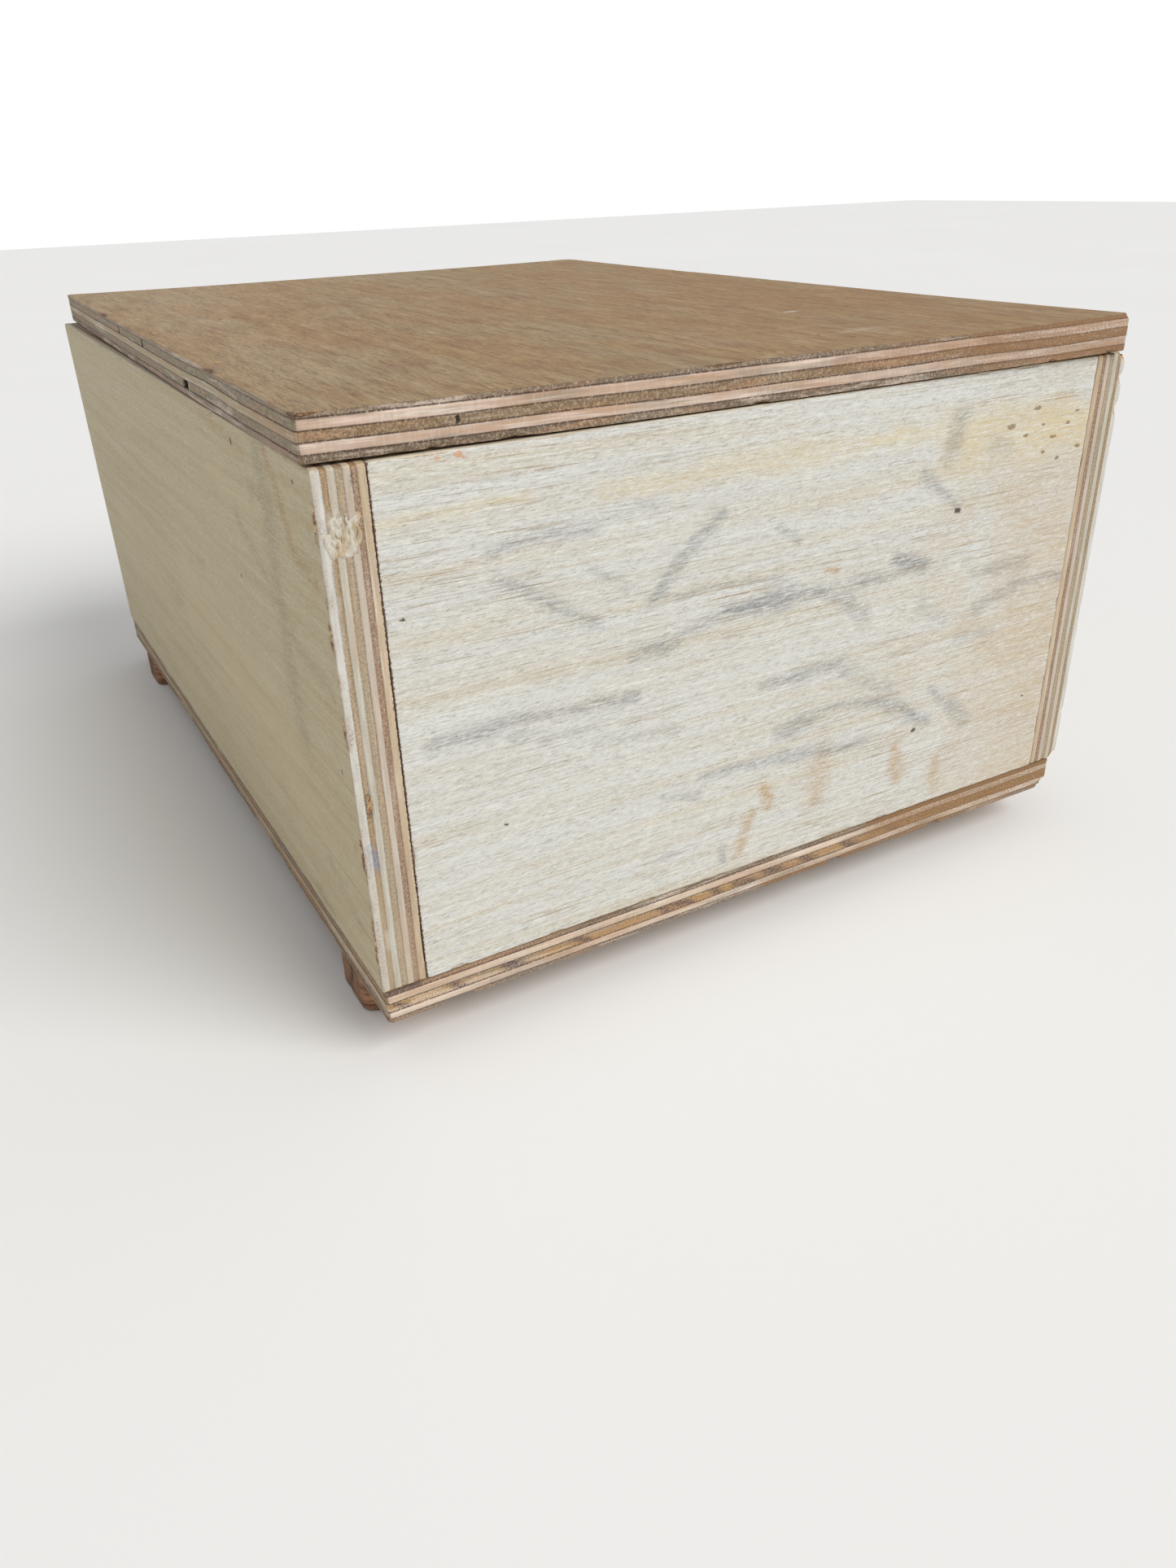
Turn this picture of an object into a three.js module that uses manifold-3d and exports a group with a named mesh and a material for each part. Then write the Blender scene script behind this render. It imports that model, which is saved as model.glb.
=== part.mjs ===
// Apple box: a closed, load-bearing plywood box with four foot blocks. Millimetres, +Z up.
// The origin is on the floor under the middle of the box; the short front end faces -Y.

import * as THREE from "three";
import { mergeVertices } from "three/addons/utils/BufferGeometryUtils.js";
import Module from "manifold-3d";

// ---- driving dimensions ----
const BOX_WIDTH = 305; // x, outside the side walls
const BOX_DEPTH = 420; // y, outside the end walls
const WALL_HEIGHT = 164;
const WALL_PLY = 15; // thickness of the side walls, end walls and rib
const BOARD_PLY = 12.7; // thickness of the top and bottom boards
const LID_WIDTH = 302;
const LID_DEPTH = 421;
const LID_TURN = THREE.MathUtils.degToRad(-0.9); // the top board is nailed down slightly askew
const LID_JOINT = 0.8; // open joint between the walls and the top board
const BOTTOM_WIDTH = 301; // cut short: near the left side, inset on the right
const BOTTOM_SHIFT = -1.5;
const EASE = 0.4; // chamfer on every board edge

const FOOT_HEIGHT = 14.3;
const FOOT_SIDE = 20.5; // side of the six-sided block
const FOOT_RIM = 0.8; // chamfer round a foot's top and bottom
const FOOT_SETBACK = 38.75; // from the end of the box to the middle of a foot

// ---- fasteners ----
const BRAD = { length: 38, wire: 1.25, thick: 1, head: 2, headHeight: 0.6, point: 1.5 };
const SCREW = { length: 24, radius: 1.75, tip: 4, tipRadius: 0.5 };
const SCREW_HEAD = { radius: 3.75, height: 2.4, rim: 0.4 };
const SCREW_RECESS = { length: 4.1, width: 0.8, depth: 1.6 }; // two crossed slots
const SCREW_SIDES = 16;
const HEAD_SET = 0.8; // how far a brad's head is driven below the surface
const SCREW_SET = 1; // how far a screw's head is sunk into the foot
const HOLE_GAP = 0.2; // between a fastener and its hole
const CORNER_BRAD_HEIGHTS = [50, 99, 148]; // above the lower edge of the walls
const RIB_BRAD_HEIGHTS = [50, 113];
const SIDE_BRAD_STEP = 100; // along a side wall, counted from the middle
const END_BRAD_STEP = 97.5; // along an end wall, counted from the middle
const RIB_BRAD_OFFSET = 52; // along the rib, on both sides of the middle

// ---- levels and lines worked out from them ----
const BOTTOM_TOP = FOOT_HEIGHT + BOARD_PLY;
const WALL_TOP = BOTTOM_TOP + WALL_HEIGHT;
const LID_TOP = WALL_TOP + LID_JOINT + BOARD_PLY;
const SIDE_X = (BOX_WIDTH - WALL_PLY) / 2; // middle plane of a side wall
const END_Y = (BOX_DEPTH - WALL_PLY) / 2; // middle plane of an end wall
const END_LENGTH = BOX_WIDTH - 2 * WALL_PLY;
const QUARTER = Math.PI / 2;

const wasm = await Module();
wasm.setup();

const wood = (color, roughness) => new THREE.MeshStandardMaterial({ color, roughness, metalness: 0 });
const materials = {
  board: wood(0x9c7a52, 0.62),
  wall: wood(0xd9ceb0, 0.7),
  foot: wood(0x7a4a30, 0.72),
  steel: new THREE.MeshStandardMaterial({ color: 0x9b9c9e, roughness: 0.4, metalness: 1 }),
};

// ---- joining and cutting ----
function solidOf(geometry) {
  const bare = geometry.index ? geometry.toNonIndexed() : geometry.clone();
  bare.deleteAttribute("normal");
  bare.deleteAttribute("uv");
  const merged = mergeVertices(bare, 1e-4);
  const vertProperties = merged.attributes.position.array;
  const triVerts = new Uint32Array(merged.index.array);
  return new wasm.Manifold(new wasm.Mesh({ numProp: 3, vertProperties, triVerts }));
}

function geometryOf(solid) {
  const mesh = solid.getMesh();
  const geometry = new THREE.BufferGeometry();
  geometry.setAttribute("position", new THREE.BufferAttribute(mesh.vertProperties, 3));
  geometry.setIndex(new THREE.BufferAttribute(mesh.triVerts, 1));
  return geometry;
}

// Cuts every hole out of a placed mesh. A hole lies where the fastener in it lies.
function cutHoles(mesh, holes) {
  const toLocal = mesh.matrixWorld.clone().invert();
  let solid = solidOf(mesh.geometry);
  for (const hole of holes) {
    const matrix = toLocal.clone().multiply(hole.mesh.matrixWorld);
    solid = solid.subtract(solidOf(hole.geometry.clone().applyMatrix4(matrix)));
  }
  mesh.geometry = geometryOf(solid);
  mesh.geometry.computeVertexNormals();
}

// ---- shapes ----
// A board lying flat, centred on the origin, with its long edges eased all round.
function boardGeometry(length, width, thickness) {
  const x = length / 2 - EASE;
  const y = width / 2 - EASE;
  const outline = new THREE.Shape();
  outline.moveTo(-x, -y);
  outline.lineTo(x, -y);
  outline.lineTo(x, y);
  outline.lineTo(-x, y);
  outline.closePath();
  const geometry = new THREE.ExtrudeGeometry(outline, {
    depth: thickness - 2 * EASE,
    bevelThickness: EASE,
    bevelSize: EASE,
    bevelSegments: 1,
  });
  return geometry.translate(0, 0, EASE - thickness / 2);
}

// A six-sided block standing on z = 0, with flats facing -X and +X and an eased rim.
function footGeometry() {
  const radius = FOOT_SIDE - FOOT_RIM * 2 / Math.sqrt(3);
  const outline = new THREE.Shape();
  for (let i = 0; i < 6; i++) {
    const angle = Math.PI / 6 + (i * Math.PI) / 3;
    const x = radius * Math.cos(angle);
    const y = radius * Math.sin(angle);
    if (i) outline.lineTo(x, y);
    else outline.moveTo(x, y);
  }
  outline.closePath();
  const geometry = new THREE.ExtrudeGeometry(outline, {
    depth: FOOT_HEIGHT - 2 * FOOT_RIM,
    bevelThickness: FOOT_RIM,
    bevelSize: FOOT_RIM,
    bevelSegments: 1,
  });
  return geometry.translate(0, 0, FOOT_RIM);
}

// A brad of rectangular wire: its head's top is at z = 0 and it points along -Z.
function bradGeometry() {
  const { length, wire, thick, head, headHeight, point } = BRAD;
  const outline = new THREE.Shape();
  outline.moveTo(-head / 2, 0);
  outline.lineTo(-head / 2, -headHeight);
  outline.lineTo(-wire / 2, -headHeight);
  outline.lineTo(-wire / 2, point - length);
  outline.lineTo(0, -length);
  outline.lineTo(wire / 2, point - length);
  outline.lineTo(wire / 2, -headHeight);
  outline.lineTo(head / 2, -headHeight);
  outline.lineTo(head / 2, 0);
  outline.closePath();
  const geometry = new THREE.ExtrudeGeometry(outline, { depth: thick, bevelEnabled: false });
  return geometry.translate(0, 0, -thick / 2).rotateX(QUARTER);
}

// The room a brad takes up in the wood, open above its head.
function bradHoleGeometry() {
  const { length, wire, thick, head, headHeight } = BRAD;
  const above = 2 * HEAD_SET;
  const headRoom = new THREE.BoxGeometry(
    head + 2 * HOLE_GAP, thick + 2 * HOLE_GAP, above + headHeight + HOLE_GAP,
  ).translate(0, 0, (above - headHeight - HOLE_GAP) / 2);
  const shankRoom = new THREE.BoxGeometry(
    wire + 2 * HOLE_GAP, thick + 2 * HOLE_GAP, length + HOLE_GAP,
  ).translate(0, 0, -(length + HOLE_GAP) / 2);
  return geometryOf(solidOf(headRoom).add(solidOf(shankRoom)));
}

// A countersunk screw: the head's flat is at z = 0 and it points along -Z.
// gap widens the outline all round, and above raises its top, which makes the screw's hole.
function screwProfile(gap, above) {
  const { length, radius, tip, tipRadius } = SCREW;
  const points = [
    [0, -length - gap],
    [tipRadius + gap, -length - gap],
    [radius + gap, tip - length - gap],
    [radius + gap, -SCREW_HEAD.height - gap],
    [SCREW_HEAD.radius + gap, -SCREW_HEAD.rim - gap],
    [SCREW_HEAD.radius + gap, above],
    [0, above],
  ];
  return points.map(([r, z]) => new THREE.Vector2(r, z));
}

// A lathe turns round Y, so the profile's height goes to +Y and the piece is stood up on Z.
function turned(profile) {
  return new THREE.LatheGeometry(profile, SCREW_SIDES).rotateX(QUARTER);
}

function screwGeometry() {
  const { length, width, depth } = SCREW_RECESS;
  let solid = solidOf(turned(screwProfile(0, 0)));
  for (const angle of [QUARTER / 2, 3 * QUARTER / 2]) {
    const slot = new THREE.BoxGeometry(length, width, 2 * depth).rotateZ(angle);
    solid = solid.subtract(solidOf(slot));
  }
  return geometryOf(solid);
}

// ---- assembly ----
const box = new THREE.Group();
const holes = []; // { geometry, mesh: the fastener in it, through: [names of the pieces it is cut in] }

function piece(name, geometry, material, parent = box) {
  const mesh = new THREE.Mesh(geometry, material);
  mesh.name = name;
  parent.add(mesh);
  return mesh;
}

function addBoards() {
  const bottom = piece("bottom_panel", boardGeometry(BOTTOM_WIDTH, BOX_DEPTH, BOARD_PLY), materials.board);
  bottom.position.set(BOTTOM_SHIFT, 0, FOOT_HEIGHT + BOARD_PLY / 2);
  const askew = new THREE.Group();
  askew.rotation.z = LID_TURN;
  box.add(askew);
  const lid = piece("lid_panel", boardGeometry(LID_WIDTH, LID_DEPTH, BOARD_PLY), materials.board, askew);
  lid.position.z = LID_TOP - BOARD_PLY / 2;
}

// Walls are boards stood on edge; the side walls are in a group turned a quarter round Z.
function addWalls() {
  const middle = BOTTOM_TOP + WALL_HEIGHT / 2;
  for (const [name, y] of [["front_end_panel", -END_Y], ["centre_rib", 0], ["back_end_panel", END_Y]]) {
    const wall = piece(name, boardGeometry(END_LENGTH, WALL_HEIGHT, WALL_PLY), materials.wall);
    wall.rotation.x = QUARTER;
    wall.position.set(0, y, middle);
  }
  const sides = new THREE.Group();
  sides.rotation.z = QUARTER;
  box.add(sides);
  for (const [name, across] of [["left_side_panel", SIDE_X], ["right_side_panel", -SIDE_X]]) {
    const wall = piece(name, boardGeometry(BOX_DEPTH, WALL_HEIGHT, WALL_PLY), materials.wall, sides);
    wall.rotation.x = QUARTER;
    wall.position.set(0, across, middle);
  }
}

// One brad, its head sunk below the surface at (x, y, z), driven along the given turn.
function addBrad(name, place, turn, through) {
  const seat = new THREE.Group();
  seat.position.set(...place);
  seat.rotation.set(...turn);
  box.add(seat);
  const brad = piece(name, bradGeometry(), materials.steel, seat);
  brad.position.z = -HEAD_SET;
  holes.push({ geometry: bradHoleGeometry(), mesh: brad, through });
}

// Brads that go straight down through the top board, or straight up through the bottom board.
function addBoardBrads(prefix, board, height, turn) {
  const sides = [["left", -SIDE_X, "left_side_panel"], ["right", SIDE_X, "right_side_panel"]];
  for (const [side, x, wall] of sides)
    for (let i = -1; i <= 1; i++)
      addBrad(`${prefix}_${side}_${i + 2}`, [x, i * SIDE_BRAD_STEP, height], [turn, 0, QUARTER],
        [board, wall]);
  const ends = [["front", -END_Y, "front_end_panel"], ["back", END_Y, "back_end_panel"]];
  for (const [end, y, wall] of ends)
    for (let i = -1; i <= 1; i++)
      addBrad(`${prefix}_${end}_${i + 2}`, [i * END_BRAD_STEP, y, height], [turn, 0, 0],
        [board, wall]);
  [-RIB_BRAD_OFFSET, RIB_BRAD_OFFSET].forEach((x, i) =>
    addBrad(`${prefix}_rib_${i + 1}`, [x, 0, height], [turn, 0, 0], [board, "centre_rib"]));
}

// Brads that go level through a side wall into an end wall or the rib.
function addWallBrads() {
  for (const [side, sign] of [["left", -1], ["right", 1]]) {
    const wall = `${side}_side_panel`;
    const x = (sign * BOX_WIDTH) / 2;
    const turn = [0, sign * QUARTER, 0];
    for (const [end, y] of [["front", -END_Y], ["back", END_Y]])
      CORNER_BRAD_HEIGHTS.forEach((height, i) =>
        addBrad(`corner_brad_${end}_${side}_${i + 1}`, [x, y, BOTTOM_TOP + height], turn,
          [wall, `${end}_end_panel`]));
    RIB_BRAD_HEIGHTS.forEach((height, i) =>
      addBrad(`rib_brad_${side}_${i + 1}`, [x, 0, BOTTOM_TOP + height], turn, [wall, "centre_rib"]));
  }
}

// A foot block under each corner, flush with the bottom board's side, with a screw up through it.
function addFeet() {
  const inset = (FOOT_SIDE * Math.sqrt(3)) / 2;
  const reach = BOTTOM_WIDTH / 2 - inset;
  for (const [end, y] of [["front", -1], ["back", 1]])
    for (const [side, x] of [["left", -1], ["right", 1]]) {
      const corner = new THREE.Group();
      corner.position.set(BOTTOM_SHIFT + x * reach, y * (BOX_DEPTH / 2 - FOOT_SETBACK), 0);
      box.add(corner);
      const foot = `foot_${end}_${side}`;
      piece(foot, footGeometry(), materials.foot, corner);
      const screw = piece(`foot_screw_${end}_${side}`, screwGeometry(), materials.steel, corner);
      screw.rotation.x = Math.PI;
      screw.position.z = SCREW_SET;
      const room = turned(screwProfile(HOLE_GAP, 2 * SCREW_SET));
      holes.push({ geometry: room, mesh: screw, through: [foot, "bottom_panel"] });
    }
}

addBoards();
addWalls();
addBoardBrads("lid_brad", "lid_panel", LID_TOP, 0);
addBoardBrads("bottom_brad", "bottom_panel", FOOT_HEIGHT, Math.PI);
addWallBrads();
addFeet();

box.updateMatrixWorld(true);
for (const name of new Set(holes.flatMap((hole) => hole.through)))
  cutHoles(box.getObjectByName(name), holes.filter((hole) => hole.through.includes(name)));

export default box;
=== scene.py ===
"""Looks of the apple box: worn plywood boards, hardwood feet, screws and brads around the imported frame."""

import math

import bpy
import numpy as np
from mathutils import Matrix, Vector


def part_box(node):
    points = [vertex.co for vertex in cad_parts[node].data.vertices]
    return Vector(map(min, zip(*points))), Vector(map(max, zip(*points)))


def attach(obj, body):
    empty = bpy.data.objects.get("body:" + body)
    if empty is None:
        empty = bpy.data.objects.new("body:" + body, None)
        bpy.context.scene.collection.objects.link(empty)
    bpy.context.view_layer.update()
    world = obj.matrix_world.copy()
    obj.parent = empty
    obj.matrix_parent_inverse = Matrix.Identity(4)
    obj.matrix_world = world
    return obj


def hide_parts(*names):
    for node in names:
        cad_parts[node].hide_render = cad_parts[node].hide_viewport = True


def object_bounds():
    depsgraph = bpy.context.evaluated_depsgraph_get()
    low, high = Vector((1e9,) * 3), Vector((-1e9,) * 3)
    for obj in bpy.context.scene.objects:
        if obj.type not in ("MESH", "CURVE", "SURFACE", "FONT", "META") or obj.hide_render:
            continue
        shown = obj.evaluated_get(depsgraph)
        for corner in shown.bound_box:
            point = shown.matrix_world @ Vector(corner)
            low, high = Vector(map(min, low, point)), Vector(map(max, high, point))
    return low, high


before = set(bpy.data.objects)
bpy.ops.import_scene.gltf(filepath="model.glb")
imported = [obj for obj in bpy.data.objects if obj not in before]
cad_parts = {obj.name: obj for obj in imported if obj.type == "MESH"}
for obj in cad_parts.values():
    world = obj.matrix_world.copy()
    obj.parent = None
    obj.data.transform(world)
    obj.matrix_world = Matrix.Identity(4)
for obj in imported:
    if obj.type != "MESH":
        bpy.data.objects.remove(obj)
cad_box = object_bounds()

MM = 0.001
SEED = 11
FLOOR_GAP, FLOOR_REACH = 0.0002, 6.0  # metres; the gap keeps the floor just clear of the feet
SKY_LIGHT = 0.5  # the surround looks white, and lights the box this much
KEY_PLACE, KEY_SPREAD, KEY_POWER, KEY_COLOUR = (0.9, -1.6, 1.7), 0.7, 2.1, (1.0, 0.985, 0.96)

# ---- the camera, at the photograph's place ----
CAMERA_PLACE = (-0.2339, -0.4959, 0.2550)
CAMERA_FORWARD = (0.42574, 0.77200, -0.47198)
CAMERA_RIGHT = (0.86747, -0.49660, -0.02981)
CAMERA_LENS, CAMERA_SENSOR = 26.385, 36.0

# ---- the boards, in millimetres ----
LID_TURN = math.radians(-0.9)  # the top board is nailed down slightly askew
LID_SAG = 0.55  # how far the top board's middle lies below its corners
EASE = 0.45  # rounding of every cut edge
GROOVE = 0.14  # half the width of a glue line
WAVE, WAVE_SIZE = 0.5, 38.0  # how far the plies wander up and down, and how long their waves are
FACE_WAVE_SIZE = 55.0  # the waves of a face that isn't quite flat
FILLER_REACH = (2.3, 1.5, 3.0)  # the soft oval over a driven brad, each way
SHARP = math.radians(50)  # edges that turn by more than this stay sharp
BRAD_NODES = [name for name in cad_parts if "_brad_" in name]


def box_mm(node):
    """A CAD node's low and high corners in millimetres."""
    return np.array(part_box(node)) / MM


def rgb(red, green, blue):
    """A screen colour, 0 to 255 a channel, as the linear colour that a shader wants."""
    parts = [channel / 255 for channel in (red, green, blue)]
    return tuple(c / 12.92 if c <= 0.04045 else ((c + 0.055) / 1.055) ** 2.4 for c in parts)


# A ply is its thickness, then how it looks on the long sides, which run with the face's grain, and on the
# two ends. A look is a screen colour and how rough the cut is: 0 shaved smooth, 1 torn end grain.
LID_PLIES = [
    (1.5, (142, 118, 88), 0.2, (128, 111, 94), 1.0),
    (2.9, (146, 134, 108), 0.9, (194, 168, 148), 0.1),
    (2.9, (176, 158, 122), 0.1, (134, 111, 84), 0.9),
    (3.0, (146, 132, 106), 0.9, (194, 172, 154), 0.1),
    (2.4, (130, 104, 82), 0.2, (118, 102, 86), 1.0),
]
BOTTOM_PLIES = [
    (1.8, (142, 116, 88), 0.2, (118, 100, 84), 0.9),
    (3.0, (142, 124, 98), 0.9, (209, 189, 168), 0.1),
    (3.4, (174, 148, 110), 0.1, (170, 134, 86), 0.7),
    (2.6, (144, 126, 98), 0.9, (205, 186, 167), 0.1),
    (1.9, (126, 100, 78), 0.2, (130, 116, 102), 0.9),
]
WALL_PLIES = [
    (2.6, (202, 194, 174), 0.3, (203, 201, 193), 0.3),
    (1.6, (158, 130, 96), 0.8, (160, 137, 102), 0.7),
    (2.3, (200, 192, 174), 0.3, (188, 183, 168), 0.2),
    (2.0, (160, 132, 106), 0.8, (167, 151, 126), 0.6),
    (2.2, (204, 194, 170), 0.3, (193, 181, 166), 0.15),
    (1.7, (156, 120, 90), 0.8, (154, 127, 105), 0.9),
    (2.6, (200, 178, 146), 0.3, (192, 172, 144), 0.2),
]
# How dark the glue lines show on a sawn edge, how much the plies' colour wanders along it, how strongly the
# hairlines across the shaved plies show, and the colours of broken wood.
EDGE_LOOKS = {
    "board_ply": (0.8, 0.55, 0.25, rgb(76, 54, 40), rgb(144, 112, 82)),
    "wall_ply": (0.28, 0.22, 0.0, rgb(128, 84, 54), rgb(218, 192, 150)),
}


# ---- noise and soft shapes, worked out at the vertices ----
TABLE_SIDE = 48  # of the cube of random numbers behind the noise


def lumps(points, size, seed):
    """Smooth noise from -1 to 1 at points in millimetres, with lumps about size across."""
    table = np.random.default_rng(SEED * 1000 + seed).uniform(-1, 1, (TABLE_SIDE,) * 3)
    cell = np.asarray(points, float) / size
    base = np.floor(cell).astype(int)
    share = cell - base
    share = share * share * (3 - 2 * share)
    total = np.zeros(cell.shape[:-1])
    for corner in np.ndindex(2, 2, 2):
        weight = np.prod(np.where(corner, share, 1 - share), axis=-1)
        x, y, z = np.moveaxis((base + corner) % TABLE_SIDE, -1, 0)
        total += weight * table[x, y, z]
    return total


def fade(value, full, none):
    """1 where value is at full or nearer, 0 where it is at none or further, smooth between them."""
    share = np.clip((value - none) / (full - none), 0, 1)
    return share * share * (3 - 2 * share)


def stroke(points, path, width):
    """How strongly a soft stroke of that width along path covers each point, from 0 to 1."""
    nearest = np.full(points.shape[:-1], 1e9)
    for a, b in zip(path, path[1:]):
        along = np.clip(((points - a) @ (b - a)) / max((b - a) @ (b - a), 1e-9), 0, 1)
        nearest = np.minimum(nearest, np.linalg.norm(points - a - along[..., None] * (b - a), axis=-1))
    return fade(nearest, 0, width)


# ---- a board's own directions ----
class Board:
    """A flat board about its middle: x runs with the face's grain, z comes out of its outer face."""

    def __init__(self, node, grain, outward, turn=0.0):
        low, high = box_mm(node)
        spin = np.array(Matrix.Rotation(turn, 3, "Z"))
        x, z = spin @ np.array(grain, float), spin @ np.array(outward, float)
        self.node = node
        self.axes = np.array([x, np.cross(z, x), z])
        self.middle = (low + high) / 2
        self.size = unturned(np.abs(self.axes.round()) @ (high - low), turn)

    def to_world(self, points):
        return points @ self.axes + self.middle

    def to_board(self, points):
        return (np.asarray(points, float) - self.middle) @ self.axes.T


def unturned(size, turn):
    """The true size of a board whose box was measured after it was turned a little in its own plane."""
    c, s = math.cos(turn), abs(math.sin(turn))
    length, width = np.linalg.solve([[c, s], [s, c]], size[:2])
    return np.array([length, width, size[2]])


# ---- the rows that go round a board, from its outer face over the cut edge to its inner face ----
FACE_INSETS = (4.0, 2.2, 1.1)  # of the rows that lie on a face
ROWS_PER_PLY = 4


def edge_rows(plies, thickness):
    """Each row's inset, height, ply number, whether it is a glue line, and its share of the edge."""
    top = thickness / 2
    rows = [(inset, top, 0, 0, 0) for inset in FACE_INSETS]
    rows += [(EASE, top, 0, 0, 0.2), (EASE * 0.3, top - EASE * 0.3, 0, 0, 0.7)]
    scale = thickness / sum(ply[0] for ply in plies)
    upper = top
    for number, ply in enumerate(plies):
        lower = upper - ply[0] * scale
        first = EASE if number == 0 else GROOVE
        last = EASE if number == len(plies) - 1 else GROOVE
        for height in np.linspace(upper - first, lower + last, ROWS_PER_PLY):
            rows.append((0, height, number, 0, 1))
        if number < len(plies) - 1:
            rows.append((0, lower, number, 1, 1))
        upper = lower
    number = len(plies) - 1
    rows += [(EASE * 0.3, EASE * 0.3 - top, number, 0, 0.7), (EASE, -top, number, 0, 0.2)]
    rows += [(inset, -top, number, 0, 0) for inset in reversed(FACE_INSETS)]
    return [np.array(column, float) for column in zip(*rows)]


def outline(across, up, split):
    """Points round a rectangle from -1 to 1 both ways, with the outward direction at each."""
    x = np.linspace(-1, 1, across * split + 1)[:-1]
    y = np.linspace(-1, 1, up * split + 1)[:-1]
    sides = [
        (x, -np.ones_like(x), 0, -1),
        (np.ones_like(y), y, 1, 0),
        (-x, np.ones_like(x), 0, 1),
        (-np.ones_like(y), -y, -1, 0),
    ]
    points = np.concatenate([np.stack([px, py], 1) for px, py, _, _ in sides])
    out = np.concatenate([np.tile([float(nx), float(ny)], (len(px), 1)) for px, _, nx, ny in sides])
    corners = np.abs(points).min(1) > 1 - 1e-9
    out[corners] = points[corners] / math.sqrt(2)
    return points, out


def face_polygons(across, up, split, rim, inside, turned_over):
    """A grid of cells inside a finer rim. rim and inside are the numbers of their first vertices."""
    rim_points = 2 * split * (across + up)

    def rim_number(i, j):
        if j == 0:
            return split * i
        if i == across:
            return split * (across + j)
        if j == up:
            return split * (2 * across + up - i)
        return split * (2 * across + 2 * up - j)

    def corner(i, j, on_rim):
        """A cell's corner, and the rim's points after it where the next side of the cell is on the rim."""
        if 0 < i < across and 0 < j < up:
            return [inside + (i - 1) * (up - 1) + j - 1]
        start = rim_number(i, j)
        return [rim + (start + step) % rim_points for step in range(split if on_rim else 1)]

    polygons = []
    for i, j in np.ndindex(across, up):
        polygon = corner(i, j, j == 0) + corner(i + 1, j, i + 1 == across)
        polygon += corner(i + 1, j + 1, j + 1 == up) + corner(i, j + 1, i == 0)
        polygons.append(polygon[::-1] if turned_over else polygon)
    return polygons


def ring_polygons(rings, points):
    """The quads between each ring of vertices and the next, facing out."""
    ring, step = np.meshgrid(np.arange(rings - 1), np.arange(points), indexing="ij")
    here, after = ring * points + step, ring * points + (step + 1) % points
    return np.stack([here, here + points, after + points, after], -1).reshape(-1, 4).tolist()


def capped_rings(rings, points):
    """The polygons of a tube of rings, with one at each end."""
    ends = [list(range(points)), [rings * points - 1 - i for i in range(points)]]
    return ring_polygons(rings, points) + ends


def circle(count):
    """The angles of that many points round a circle."""
    return np.arange(count) * 2 * math.pi / count


def facing_out(points, polygons):
    """The polygons of a closed solid, turned over if they face into it."""
    corners = [(face[0], *pair) for face in polygons for pair in zip(face[1:], face[2:])]
    volume = np.linalg.det(points[np.array(corners)]).sum()
    return polygons if volume > 0 else [face[::-1] for face in polygons]


def rounded(points, half, radius):
    """Pulls points outside a rectangle's rounded corners onto the rounding."""
    over = np.maximum(np.abs(points) - (half - radius), 0)
    reach = np.linalg.norm(over, axis=-1, keepdims=True)
    both = (over.min(-1, keepdims=True) > 0) & (reach > radius)
    pulled = np.sign(points) * (half - radius + over * radius / np.maximum(reach, 1e-9))
    return np.where(both, pulled, points)


# ---- damage ----
def bites(points, chips):
    """How deep the chips go at each point. A chip is its middle, its reach each way and its depth."""
    depth = np.zeros(points.shape[:-1])
    for middle, reach, deep in chips:
        away = np.linalg.norm((points - middle) / reach, axis=-1)
        ragged = 1 + 0.35 * lumps(points, 1.6, 5)
        depth = np.maximum(depth, deep * ragged * fade(away, 0.35, 1))
    return depth


def board_chips(board, damage):
    """Chips that are placed in the CAD's frame, in the board's own directions."""
    turn = np.abs(board.axes.round())
    return [(board.to_board(place), turn @ np.array(reach, float), deep) for place, reach, deep in damage]


def peeled(points, thickness, veneer, board, patches):
    """The points with the outer veneer gone from patches, each given as its middle and its reach."""
    points = points.copy()
    bare = thickness / 2 - veneer
    for middle, reach in patches:
        away = np.linalg.norm((points - board.to_board(middle)) / reach, axis=-1)
        gone = fade(away + 0.12 * lumps(points, 2, 9), 0.75, 1)
        height = points[..., 2]
        points[..., 2] = np.where(height > bare, bare + (height - bare) * (1 - gone), height)
    return points


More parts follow.
